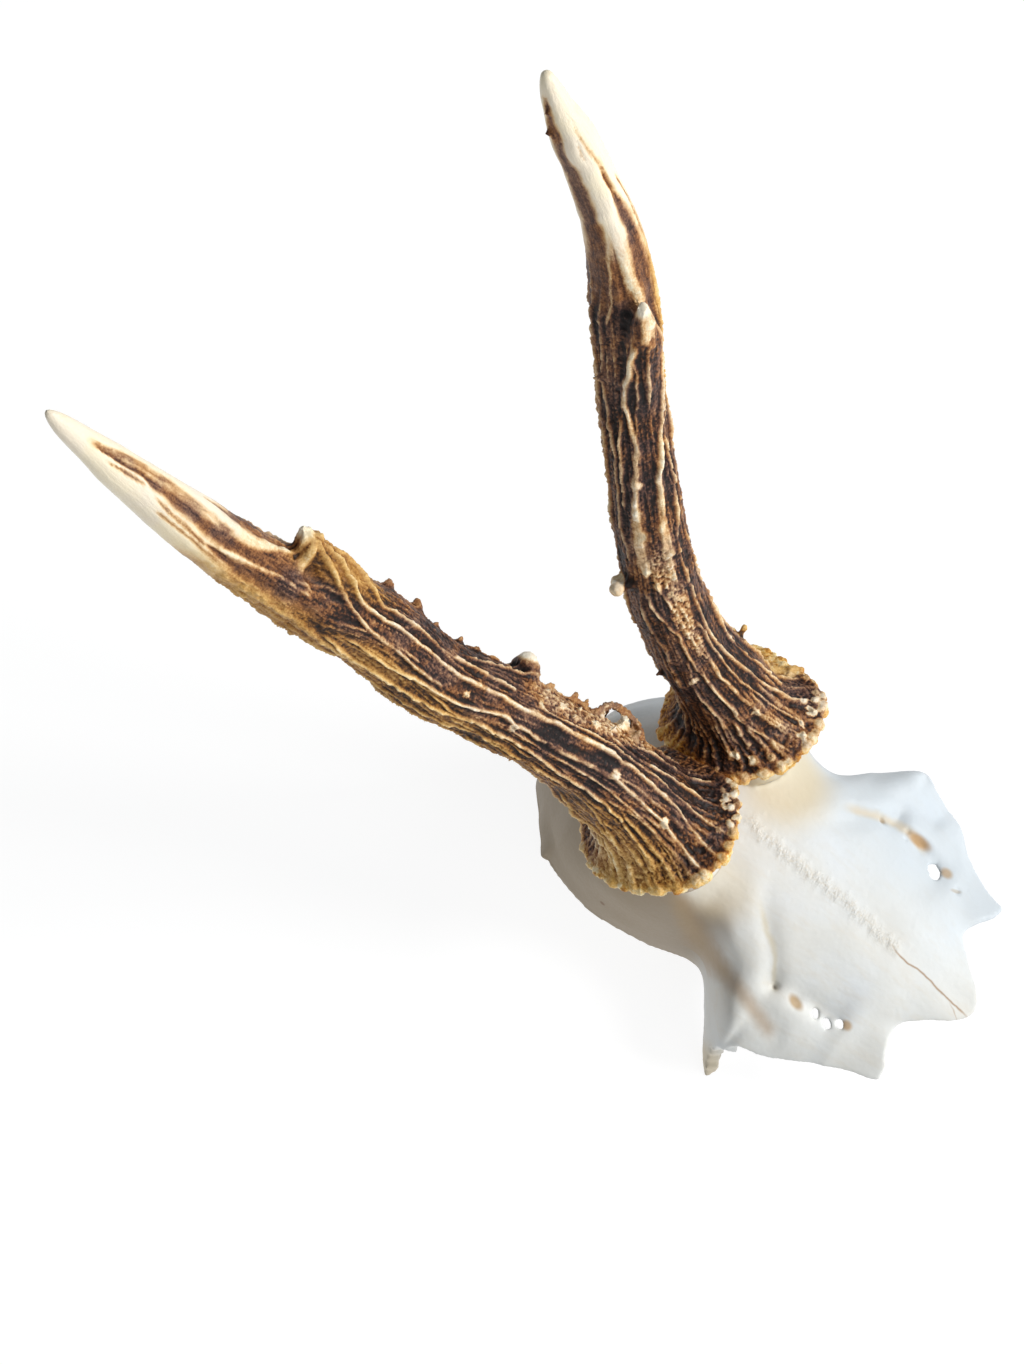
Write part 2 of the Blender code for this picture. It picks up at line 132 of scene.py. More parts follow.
# Lines on the skull as y and x, rear to front.
RIGHT_GROOVE = ((-66, -13), (-70, -15.9), (-73, -17.8), (-76, -19.6), (-79, -23.4), (-81, -25.2))
LEFT_GROOVE = ((-68, 18.4), (-72, 20), (-77, 22.8), (-81, 24.5), (-86, 24.8), (-90, 24.4))
BROW_CREST = ((-60, 9.5), (-68, 17), (-74, 21.8), (-78, 25.4), (-84, 26.6), (-91, 26.8), (-97, 27))
BROW_VALLEY = ((-60, 24.6), (-68, 27.7), (-76, 29.8), (-82, 31.5), (-90, 33.3))
CRACK_LINE = ((-96, -1), (-101, -1.7), (-105, -1.3), (-108, -1.4), (-111, -1.7), (-115, -1.9), (-120, -2))
CRACK_FORK = ((-114, -2), (-117, -3.2), (-119, -4.2))
# Painted shade: a grey-brown band along the outer side of the right brow ridge, where the bone turns away from the
# light.
RIDGE_SHADE_BAND = ((-49, -23.6), (-57, -25.4), (-65, -27.6), (-73, -30.4), (-81, -32.4), (-87, -33.4))
TEMPLE_LINE = ((-49, -24.6), (-54, -25.4), (-60, -26.2), (-66, -28), (-71, -30))
SEAM_LINE = ((-52, 0.1), (-58, -0.7), (-69, -0.7), (-82, 0), (-92, -0.8), (-98, -1))
SEAM_HALF_WIDTH = 1.5
# Lines that stand out or are sunk: line, half-width, height.
BROW_LINES = (
    (RIGHT_GROOVE, 2.4, -0.3), (LEFT_GROOVE, 1.6, -0.5),
    (BROW_CREST, 3.2, 0.2), ([(y, -x) for y, x in BROW_CREST], 3.2, 0.2),
    (BROW_VALLEY, 2.8, -0.7), ([(y, -x) for y, x in BROW_VALLEY], 2.8, -0.6),
)
# Pits on the brow: x, y, radius, depth.
BROW_PITS = (
    (-25.1, -80.5, 0.8, 1.1), (-24.6, -86.6, 1.4, 0.45), (22.7, -77.6, 0.8, 1), (24.7, -88.8, 1.5, 0.6),
    (21.4, -101.4, 0.8, 0.7), (24.9, -83.8, 0.6, 0.5), (22.9, -84.4, 0.5, 0.4),
)
# Front edge of the spike behind each eye socket: height and y.
SPIKE_TOP = 16.2
SPIKE_FRONT = ((-2, -79.6), (1, -79), (3, -78.2), (6, -77.5), (10, -77.5), (13, -78), (16.2, -79.6))
# The bony stem under each antler: distance below its top, radius.
PEDICLE = ((0, 11.2), (1.2, 11.6), (4, 11.3), (8, 11.6), (10.4, 9.4), (11.8, 6))
PEDICLE_SIDES = 72
# Coloured lines: line, half-width, strength, colour, whether it swerves less. The ridge band is painted shade.
LINE_MARKS = (
    (RIDGE_SHADE_BAND, 3.2, 0.65, (164, 138, 108), False), (TEMPLE_LINE, 2.6, 0.5, (186, 162, 126), False),
    (RIGHT_GROOVE, 1.6, 0.4, (204, 186, 142), False), (LEFT_GROOVE, 2.2, 0.5, (208, 182, 130), False),
    (CRACK_LINE, 0.42, 0.85, (158, 122, 82), True), (CRACK_FORK, 0.3, 0.6, (168, 136, 98), False),
)
LINE_Y_RANGE = (-125, -45)
LINE_X_RANGE = (-40, 40)
# Coloured spots: middle, half-sizes, turn, strength, colour, whether it also colours the underside.
SPOT_MARKS = (
    ((25, -87.2, 25.8), (1.9, 4.6, 6), 6, 0.8, (178, 134, 74), False),
    ((22.6, -77.6, 30.6), (1, 1.2, 4), 0, 0.7, (150, 122, 84), False),
    ((23.2, -96.8, 23.5), (1.8, 2.2, 6), 0, 0.7, (186, 150, 96), False),
    ((21, -101, 23), (0.7, 2, 6), 35, 0.5, (170, 150, 120), False),
    ((-24.8, -86.6, 26.5), (1.8, 3, 6), -10, 0.8, (168, 132, 74), False),
    ((-25.1, -80.6, 28.7), (0.9, 1, 4), 0, 0.8, (112, 90, 64), False),
    ((-21.4, -99, 23.6), (1.5, 1.9, 6), 0, 0.75, (190, 152, 100), False),
    ((14, -54.5, 39), (17, 16, 16), 0, 0.6, (212, 190, 138), False),
    ((-17, -58, 38), (10, 12, 12), 0, 0.45, (230, 216, 186), False),
    ((-45, -77.5, 0), (7, 7, 16), 0, 0.7, (214, 196, 162), True),
    ((45, -77.5, 0), (7, 7, 16), 0, 0.6, (190, 164, 122), True),
    ((-31, -35.3, 13.1), (2, 1, 1.2), 0, 0.8, (124, 92, 60), True),
)
# Colours from dark to light: position, then the colour's usual values.
BONE = ((0.3, 220, 219, 213), (0.5, 225, 226, 223), (0.7, 226, 230, 233))
BROWN = (
    (0, 20, 10, 6), (0.12, 46, 25, 15), (0.25, 98, 59, 34), (0.39, 148, 99, 58), (0.56, 192, 148, 98),
    (0.72, 226, 194, 148), (0.86, 240, 222, 186), (1, 248, 240, 220),
)
PURPLE = (
    (0, 16, 9, 9), (0.12, 42, 26, 24), (0.26, 88, 60, 50), (0.42, 140, 102, 76), (0.7, 216, 184, 142),
    (1, 248, 240, 222),
)
GOLDEN = ((0, 28, 15, 5), (0.17, 84, 52, 17), (0.36, 158, 108, 42), (0.66, 216, 172, 96), (1, 246, 226, 174))
YELLOW = (
    (0, 36, 18, 6), (0.26, 110, 62, 18), (0.48, 188, 124, 42), (0.66, 230, 182, 96), (0.84, 244, 222, 168),
    (1, 250, 242, 220),
)

# Antlers. Radius over the ridges at each distance from the middle of the burr, which the seat lies below.
BURR_PROFILE = ((-4.5, 12), (-3.4, 14.5), (-2, 17.4), (-0.6, 18.9), (0.8, 19.1), (2.4, 17.8), (4.4, 15.4), (8, 13))
SEAT_DROP = 4.5
SEAT_GAP = 0.3
BURR_CLEARANCE = 0.2
ANTLER_VOXEL = 0.37
ANTLER_TRIANGLES = 196000
TUBE_COLUMNS = 96
TUBE_STEP = 0.9
# How far the ground between the ridges lies below the profile.
FURROW_DEPTH = 1
FAN_RIDGES = 14
THIN_RIDGES = 30
CREST_KNOBS = 80
# Shares of the antler's length where its ridges start to fade and where they end.
RIDGES_FADE = 0.68
RIDGES_END = 0.84
TINE_SIDES = 28
THORN_SIDES = 14
# Share of the way from a thorn's root to its tip, and its radius as a share of the base radius.
THORN_SHAPE = ((0, 1.45), (0.35, 1.15), (0.7, 0.72), (0.93, 0.36), (1, 0.1))
# Pearls on each lobe of the rim: distance, lift, radius.
LOBE_PEARLS = ((0.3, -0.6, 1.5), (-1.2, -0.1, 1.6), (-2.2, -0.1, 1.2))
# Rim pearls: count, then lowest and highest distance, lift and radius.
BURR_PEARLS = (
    (56, (-2.9, -1), (-0.9, 0.4), (0.9, 1.6)), (60, (-1, 0.9), (-0.9, 0.3), (0.6, 1.2)),
    (12, (1.2, 3.5), (-0.7, -0.2), (0.6, 1)),
)
# The bone arch over the right burr: distance, angle, lift.
BRIDGE = ((38, 84, -0.3), (35, 91, 1.2), (31, 97, 2.4), (27, 97, 2.2), (23, 93, 1.0), (20, 87, -0.4))
BRIDGE_RADIUS = 1.2
BRIDGE_TONE = 0.42
# The round end of the left antler's stalked thorn: middle, radius, tone.
STALKED_KNOB = (
    ((1.4, -9.3, 115.4), 1.7, 0.85), ((2.3, -8.9, 114.3), 1.4, 0.95), ((3.2, -8.6, 113.2), 1.6, 0.95),
    ((4.4, -8.1, 111.8), 2.1, 0.8),
)
# What the two tables below hold:
# path: middle line, from the middle of the burr to the tip. burr_axis: which way the burr faces.
# shaft: distance, radius over the ridges.
# ridges: height, paleness, places as distance, angle and half-width. back: the same are seeded from the
# first angle to the second, and how many. furrows: brown furrows in the pale tip, depth and places.
# pale: where the antler turns from dark to pale. moss, olive, tan: patches of spongy bone, of golden brown
# and of tan on the pale tip, as distance, angle, half-length and half-width in degrees.
# tine: distance, angle, lift off the plain shaft and radius, base to tip. tine_white: distance from the
# tine's tip up to which it is white, and where the white ends.
# thorns: distance, angle, lift of the tip, radius of the base, tone of the tip.
# knobs: distance, angle, radius, how far the middle stands out, tone.
# hollows: where the shaft is thinner, as a patch and depth. shades: a patch and its change of tone.
# rim: angle, how far up the burr its yellow rim reaches. lobes of the rim: first angle, last angle, count.
RIGHT = {
    "name": "antler_right",
    "seed": 11,
    "path": (
        (-16.5, -38.5, 52.5), (-18.5, -28, 66), (-22, -18, 79.5), (-26.5, -8.5, 91.5), (-32, 2, 105.5),
        (-37, 10.5, 118), (-41, 21.5, 135), (-47.5, 31, 150.5), (-53, 40.5, 166.5), (-57, 48.5, 182),
        (-60.5, 56, 196.5), (-63.5, 63.5, 211),
    ),
    "burr_axis": (-0.12, 0.42, 0.9),
    "shaft": (
        (14, 12), (25, 11.2), (37, 10.4), (50, 9.8), (63, 9.5), (84, 9.1), (100, 9.1), (115, 8.6), (125, 7.7),
        (134, 7), (144, 6.6), (153, 5.9), (161, 5.1), (170, 4.4), (178, 3.5), (185, 2.3), (191, 1.3), (194.2, 0.6),
        (195, 0),
    ),
    "ridges": (
        (0.9, 1, ((134, 62, 0.8), (138, 56, 1.1), (142, 46, 1.4), (149, 43, 1.7), (154, 43, 1.9), (162, 60, 1.9),
         (170, 88, 1.7))),
        (0.7, 0.85, ((127, 12, 0.5), (135, 12, 0.6), (142, 5, 0.6), (150, -3, 0.4))),
        (0.9, 0.62, ((103, -56, 0.8), (121, -42, 1.5), (137, -40, 1.9), (148, -36, 1.8), (156, -44, 1.8),
         (165, -48, 1.7))),
        (0.9, 0.75, ((87, -3, 0.5), (95, -8, 0.6), (106, -2, 0.6), (113, 10, 0.6), (119, 28, 0.6), (125, 46, 0.7),
         (129, 60, 0.7), (133, 71, 0.6))),
        (0.7, 0.85, ((126.9, 13, 0.8), (129.2, 22, 0.8), (130.7, 38, 0.8), (131.2, 58, 0.9), (132.6, 71, 0.9))),
        (1.1, 1, ((2, 2, 0.5), (5, 4, 0.6), (12, 16, 0.6), (25, 24, 0.75), (38, 29, 0.95), (53, 29, 0.9),
         (64, 25, 0.8), (77, 28, 0.75), (89, 21, 0.7), (98, 20, 0.6), (108, 24, 0.6), (116, 35, 0.6),
         (124, 62, 0.6), (129, 70, 0.7), (133, 75, 0.7))),
        (0.9, 0.75, ((66, 44, 0.5), (79, 47, 0.6), (92, 37, 0.6), (109, 42, 0.6), (119, 74, 0.6), (127, 80, 0.7),
         (132, 79, 0.7))),
        (1, 0.9, ((3, -13, 0.6), (13, -6, 0.6), (21, -2, 0.7), (31, 3, 0.95), (39, 2, 0.9), (52, -1, 0.8),
         (67, 4, 0.7), (79, -8, 0.6), (90, -16, 0.6), (100, -28, 0.6), (114, -21, 0.6))),
        (1, 0.8, ((8, -45, 0.5), (27, -30, 0.6), (41, -28, 0.8), (54, -21, 0.7), (73, -22, 0.7), (88, -39, 0.6),
         (97, -48, 0.6), (107, -51, 0.6), (117, -32, 0.6))),
        (0.8, 0.6, ((8, -73, 0.6), (28, -49, 0.6), (40, -42, 0.7), (67, -40, 0.6), (88, -62, 0.6), (99, -85, 0.6))),
        (0.8, 0.75, ((38, 97, 0.5), (56, 84, 0.6), (70, 75, 0.6), (81, 59, 0.5))),
        (0.8, 0.8, ((2, 39, 0.6), (8, 43, 0.6), (24, 41, 0.6), (33, 45, 0.5), (38, 60, 0.5))),
        (0.8, 0.8, ((3, 64, 0.6), (26, 60, 0.6), (33, 74, 0.5))),
        (0.7, 0.7, ((2, 20, 0.4), (14, 29, 0.4), (30, 36, 0.4), (44, 40, 0.4), (58, 38, 0.4))),
        (0.7, 0.7, ((3, -28, 0.4), (16, -18, 0.4), (34, -12, 0.4), (50, -11, 0.4), (62, -9, 0.4))),
        (0.7, 0.55, ((60, -58, 0.5), (84, -78, 0.5), (104, -76, 0.5), (122, -60, 0.6), (138, -64, 0.7))),
    ),
    "back": (105, 285, 10),
    "furrows": (
        (0.7, ((128, 36, 1.6), (133, 30, 2), (139, 23, 2.2), (146, 18, 2.1), (153, 14, 2), (160, 17, 1.8),
         (167, 27, 1.4), (171, 28, 1), (174, 28, 0.7), (179, 20, 0.5), (183, 12, 0.25))),
        (0.2, ((154, -19, 0.3), (160, -14, 0.55), (163, -9, 0.5), (168, -1, 0.3))),
        (0.2, ((173, 10, 0.3), (176, 6, 0.4), (180, -2, 0.2))),
        (0.12, ((150, 34, 1), (158, 40, 1.1), (168, 52, 1), (178, 44, 0.8), (184, 20, 0.5))),
        (0.15, ((140, -36, 0.9), (149, -30, 0.7), (158, -26, 0.5), (166, -24, 0.3))),
        (0.6, ((124, -13, 1.2), (132, -13, 1.5), (138, -16, 1.7), (145, -17, 1.4), (153, -14, 0.5))),
        (0.4, ((134, 70, 0.8), (145, 66, 0.8), (151, 63, 0.7), (157, 68, 0.4))),
        (0.5, ((130, -100, 1.4), (145, -95, 1.4), (158, -105, 1), (168, -100, 0.5))),
        (0.5, ((128, 150, 1.8), (146, 145, 1.6), (160, 152, 1), (170, 148, 0.4))),
        (0.5, ((130, -155, 1.6), (148, -150, 1.4), (164, -160, 0.8), (174, -155, 0.3))),
    ),
    "pale": (140, 160),
    "moss": ((50, 64, 11, 24), (36, 74, 13, 28), (24, 80, 6, 18)),
    "olive": ((10, -62, 30, 40), (100, -58, 60, 46), (120, 62, 14, 30)),
    "tan": ((134, -74, 20, 50), (176, -160, 20, 50), (122, 66, 10, 20)),
    "tine": (
        (105, 62, -6, 5.4), (113, 65, -4.4, 5.8), (120, 69, -2.7, 5.7), (126, 73, -0.8, 5), (130.5, 75, 1.6, 3.5),
        (133.6, 76, 3.7, 1.9), (135.2, 76, 4.9, 0.6),
    ),
    "tine_white": (2, 4.4),
    "thorns": (
        (105, 99, 1.3, 2.3, 0.42), (96, 100, 1.6, 2.5, 0.42), (88, 101, 0.9, 1.9, 0.4), (80, 100, 1.1, 2.1, 0.42),
        (74, 99, 0.8, 1.7, 0.45), (60, 100, 4, 3.6, 0.97), (121, -118, 1, 1.6, 0.5), (88, 170, 1.6, 1.7, 0.5),
        (52, -150, 1.5, 1.7, 0.6),
    ),
    "knobs": (
        (29, 86, 1.7, 0.3, 0.95), (25, 76, 1.8, -0.3, 0.6), (36, 80, 1, 0.1, 0.9), (50, 59, 1.1, -0.2, 0.9),
        (57, 45, 0.9, -0.2, 0.9), (40, 57, 1, -0.1, 0.9), (79, 8, 0.9, -0.2, 0.85), (62, -4, 1.1, -0.2, 0.85),
        (12, -5, 1.2, -0.2, 0.95), (31, 8, 1.1, -0.2, 0.9), (44, 70, 0.9, 0, 0.9), (34, 64, 1, 0, 0.85),
        (47, 50, 0.8, 0, 0.85), (44, 92, 1.4, 0.1, 0.5), (41, 88, 1.2, 0.2, 0.55), (54, 74, 0.9, 0, 0.8),
        (52, 86, 1.2, 0.1, 0.6), (2, 27, 0.9, 0, 0.9), (2.4, 40, 0.9, 0.1, 0.92), (1.6, 50, 1.1, 0.1, 0.92),
        (0.8, 34, 0.8, 0.2, 0.88), (3, 46, 0.7, 0.1, 0.9), (0.4, 44, 0.8, 0.2, 0.8), (0.6, 58, 0.9, 0.1, 0.8),
    ),
    "hollows": ((46, -88, 26, 50, 1.3), (76, 85, 10, 30, 0.4), (-2, -66, 10, 66, 2.4)),
    "shades": (
        (12, 52, 26, 34, -0.1), (58, 8, 26, 30, -0.05), (5, -80, 14, 56, 0.26), (96, 4, 16, 26, 0.03),
        (110, -50, 40, 40, 0.07),
    ),
    "rim": ((-180, 2), (-120, 2.2), (-70, 2.6), (-30, 1.6), (0, 1), (60, 1.2), (120, 2), (180, 2)),
    "lobes": (-128, 24, 14),
}
LEFT = {
    "name": "antler_left",
    "seed": 23,
    "path": (
        (17.5, -37.5, 50.5), (14.5, -30, 69), (12, -23, 84), (11.3, -18, 97), (11.8, -13, 109), (15.3, -5.5, 130.5),
        (19.4, 1.5, 149.5), (24, 8, 167.5), (29, 15, 185), (31.3, 23.5, 201), (31.8, 31.5, 214), (32.6, 35.2, 220.5),
    ),
    "burr_axis": (0.06, 0.37, 0.93),
    "shaft": (
        (14, 11.4), (25, 10.3), (37, 9.3), (51, 8.8), (64, 8.4), (75, 8.1), (98, 7.5), (127, 7), (137, 6.8),
        (147, 6), (157, 4.9), (165, 4.4), (173, 3.9), (178, 3.1), (182.4, 2.2), (185.8, 1.2), (187.6, 0.6),
        (188.3, 0),
    ),
    "ridges": (
        (0.9, 1, ((134, -32, 1.3), (138, -26, 1.6), (141, -24, 1.7), (146, -36, 1.5), (152, -39, 1.7),
         (158, -36, 2), (167, -35, 2.4), (175, -39, 1.9), (182, -15, 1.6))),
        (0.7, 0.9, ((113, 10, 0.5), (121, 14, 0.6), (133, 30, 0.6), (143, 37, 0.8), (150, 46, 0.8), (159, 50, 0.8),
         (166, 42, 0.8), (173, 43, 0.8), (179, 46, 0.8))),
        (0.5, 0.8, ((137, -85, 0.4), (149, -69, 0.5), (153, -57, 0.7), (158, -45, 0.8))),
        (0.9, 0.9, ((117, -29, 0.5), (122, -29, 0.6), (132, -27, 0.7), (137, -21, 0.9), (140, -20, 1.2))),
        (0.9, 0.9, ((104, -12, 0.6), (113, -4, 0.6), (124, 8, 0.6), (130, 8, 0.6), (136, -5, 0.8), (140, -16, 1))),
        (0.8, 0.95, ((73, -66, 1.2), (76, -67, 1.9), (83, -69, 2.5), (88, -67, 2.1), (92, -69, 1.3), (96, -64, 1.1),
         (108, -56, 1), (118, -67, 0.8), (124, -62, 0.8), (132, -47, 0.7))),
        (0.9, 0.95, ((70, -25, 1.2), (76, -27, 1.7), (81, -25, 2), (86, -29, 1.4), (93, -26, 1.3), (98, -24, 1.2),
         (103, -15, 1), (112, -4, 0.9))),
        (0.9, 0.8, ((4, 35, 0.6), (22, 23, 0.6), (40, 13, 0.7), (49, 6, 0.7), (61, 8, 0.7), (75, -6, 0.8),
         (83, -2, 0.8), (98, 9, 0.7), (107, 0, 0.6))),
        (0.9, 0.8, ((10, 44, 0.5), (31, 41, 0.6), (50, 42, 0.6), (63, 44, 0.6), (78, 20, 0.5))),
        (0.7, 0.6, ((92, -89, 0.6), (99, -84, 0.6), (114, -79, 0.6))),
        (0.9, 0.75, ((3, -3, 0.6), (21, -9, 0.6), (40, -14, 0.6), (58, -30, 0.6), (72, -53, 0.6))),
        (0.9, 0.7, ((3, -13, 0.5), (17, -28, 0.5), (35, -32, 0.6), (52, -41, 0.6), (68, -72, 0.6))),
        (0.9, 0.6, ((34, -71, 0.8), (47, -70, 0.8), (63, -83, 0.6))),
        (0.8, 0.7, ((3, 2, 0.5), (26, -10, 0.5), (49, -15, 0.5))),
        (0.7, 0.4, ((77, -91, 0.6), (85, -100, 0.6), (106, -95, 0.6), (124, -107, 0.6), (141, -100, 0.6))),
        (0.7, 0.7, ((4, 14, 0.4), (20, 8, 0.4), (36, 3, 0.4), (52, -3, 0.4))),
        (0.7, 0.5, ((5, -45, 0.5), (20, -50, 0.5), (34, -54, 0.5))),
        (0.7, 0.6, ((92, 20, 0.5), (110, 26, 0.5), (126, 24, 0.5), (138, 20, 0.5))),
    ),
    "back": (58, 245, 9),
    "furrows": (
        (0.8, ((136, 10, 1.6), (139, 8, 2.2), (144, 6, 2.4), (149, 5, 2.5), (155, 6, 2), (160, 1, 1.1),
         (163, -4, 0.6), (167, -10, 0.3))),
        (0.14, ((163, -5, 0.7), (168, -12, 0.5), (173, -16, 0.45), (179, -17, 0.25))),
        (0.2, ((170, -35, 0.2), (172, -34, 0.35), (174, -34, 0.2))),
        (0.15, ((150, 44, 0.5), (158, 36, 0.5), (164, 26, 0.4))),
        (0.5, ((140, -48, 2.2), (146, -55, 1.5), (152, -50, 0.4))),
        (0.6, ((140, -100, 3.6), (146, -95, 3.4), (155, -88, 3), (161, -84, 2.8), (169, -86, 2.4), (175, -90, 1.8),
         (182, -95, 0.9))),
        (0.5, ((136, 120, 1.8), (150, 115, 1.8), (162, 120, 1.2), (174, 115, 0.4))),
        (0.5, ((136, 170, 1.8), (152, 168, 1.6), (168, 172, 0.8))),
    ),
    "pale": (142, 160),
    "moss": ((60, -24, 9, 16), (51, -20, 8, 14), (74, -40, 6, 20)),
    "olive": ((12, 110, 30, 46), (130, 40, 20, 24)),
    "tan": ((146, 54, 14, 26), (168, 170, 20, 60)),
    "tine": (
        (112, -24, -5, 4.6), (122, -26, -3.4, 4.8), (131, -29, -1.4, 4.2), (137, -32, 0.8, 3), (140.6, -33, 2.4, 2),
        (142.2, -33.5, 3.4, 1.2),
    ),
    "tine_white": (1.6, 3.8),
    "thorns": (
        (69.5, -102, 3, 1.9, 0.66), (23, 90, 2.2, 1.6, 0.65), (124, -112, 1.6, 1.5, 0.6), (181, -100, 1, 1.1, 0.25),
        (177, -112, 1, 1.1, 0.25), (36, -104, 1.3, 1.9, 0.35), (96, 150, 1.7, 1.4, 0.5), (60, 172, 1.9, 1.6, 0.6),
        (118, -170, 1.2, 1.5, 0.5),
    ),
    "knobs": (
        (84, -66, 1.3, -1, 0.8), (15, -7, 0.9, -0.3, 0.8), (35, -46, 1, -0.4, 0.8), (74, -64, 0.9, -0.5, 0.85),
        (70, -52, 1, -0.2, 0.8), (98, -60, 1, -0.3, 0.8), (66, -34, 0.9, -0.2, 0.75), (63, -18, 0.8, -0.2, 0.75),
        (5, 34, 0.9, 0, 0.9), (3, 36, 0.9, 0.2, 0.9), (3, 25, 1, 0.1, 0.92), (3, 3, 0.9, 0.1, 0.9),
        (6, -54, 0.9, 0, 0.9), (4, -43, 0.9, 0, 0.88), (1.6, 30, 0.8, 0.2, 0.85), (1.2, 40, 0.9, 0.1, 0.85),
        (1.4, 16, 0.8, 0.2, 0.8), (4.2, 12, 0.7, 0.1, 0.88),
    ),
    "hollows": ((4, -132, 9, 32, -1.2), (2, 84, 20, 50, 3)),
    "shades": (
        (14, -60, 30, 42, -0.11), (20, 10, 22, 40, -0.05), (104, -58, 46, 34, -0.07), (100, -8, 26, 24, -0.03),
        (60, -22, 12, 18, 0.08), (128, 36, 30, 26, 0.05), (8, 96, 16, 30, 0.26), (3, -128, 12, 40, -0.2),
    ),
    "rim": (
        (-180, 3), (-150, 6), (-118, 6.5), (-95, 4.5), (-74, 2.6), (-50, 1.2), (0, 1), (50, 0.8), (66, 1), (80, 3),
        (120, 3), (180, 3),
    ),
    "lobes": (-132, 30, 15),
}


def srgb(*levels):
    """A colour named by its usual 0 to 255 values, as the linear values that Blender takes."""
    shares = [level / 255 for level in levels]
    linear = [share / 12.92 if share <= 0.04045 else ((share + 0.055) / 1.055) ** 2.4 for share in shares]
    return (*linear, 1.0)


def smooth_step(low, high, value):
    share = np.clip((value - low) / (high - low), 0.0, 1.0)
    return share * share * (3 - 2 * share)


def bell(value, width):
    return np.exp(-(value / width) ** 2)


def lerp(start, end, share):
    return start + (end - start) * share


def noise(points, shift=0.0):
    """Smooth values from -1 to 1 in three dimensions, the same each run."""
    points = points + shift
    cell = np.floor(points).astype(int)
    share = points - cell
    share = share * share * (3 - 2 * share)
    total = np.zeros(len(points))
    for corner in itertools.product((0, 1), repeat=3):
        weight = np.prod(np.where(corner, share, 1 - share), axis=1)
        x, y, z = ((cell + corner) % NOISE_SIZE).T
        total += weight * NOISE_TABLE[x, y, z]
    return total


def cubic(before, start, end, after, share):
    """Catmull-Rom between start and end."""
    square, cube = share ** 2, share ** 3
    return (start * (2 * cube - 3 * square + 1) + (end - before) * 0.5 * (cube - 2 * square + share)
            + end * (3 * square - 2 * cube) + (after - start) * 0.5 * (cube - square))


def spline(rows, position):
    """A smooth course through equally spaced rows, read at each position, counted in rows."""
    rows = np.asarray(rows, float)
    low = np.clip(position.astype(int), 0, len(rows) - 2)
    share = (position - low).reshape((-1,) + (1,) * (rows.ndim - 1))
    last = len(rows) - 1
    return cubic(rows[np.maximum(low - 1, 0)], rows[low], rows[low + 1], rows[np.minimum(low + 2, last)], share)


def table_value(position, table):
    return np.interp(position, *np.array(table).T)


def unit(vectors):
    return vectors / np.linalg.norm(vectors, axis=-1, keepdims=True)


def across(axis):
    """The two directions across each axis: towards the nose, and sideways."""
    nose = np.array((0.0, -1.0, 0.0))
    forward = unit(nose - axis * (axis @ nose)[..., None])
    return forward, np.cross(axis, forward)


def circles(axis, sides):
    """A circle of directions round each axis."""
    forward, sideways = across(axis)
    angle = (np.arange(sides) * math.tau / sides)[:, None]
    return forward[..., None, :] * np.cos(angle) + sideways[..., None, :] * np.sin(angle)


def turn_between(angle, other):
    """Angle from one direction to another, the short way round."""
    return (angle - other + 180) % 360 - 180


def away(patch, distance, angle):
    """How far places are from the middle of a patch, where 1 is its edge."""
    along, around, half_length, half_width = patch[:4]
    return np.hypot((distance - along) / half_length, turn_between(angle, around) / half_width)


def patch_field(patches, distance, angle):
    """Nearness from 0 to 1 to any of a list of patches."""
    return np.max([1 - smooth_step(0.75, 1.25, away(patch, distance, angle)) for patch in patches], axis=0)


def patch_sum(patches, distance, angle, inner, outer):
    """The last measure of each patch, fading out round its edge, added up."""
    return sum(patch[4] * (1 - smooth_step(inner, outer, away(patch, distance, angle))) for patch in patches)


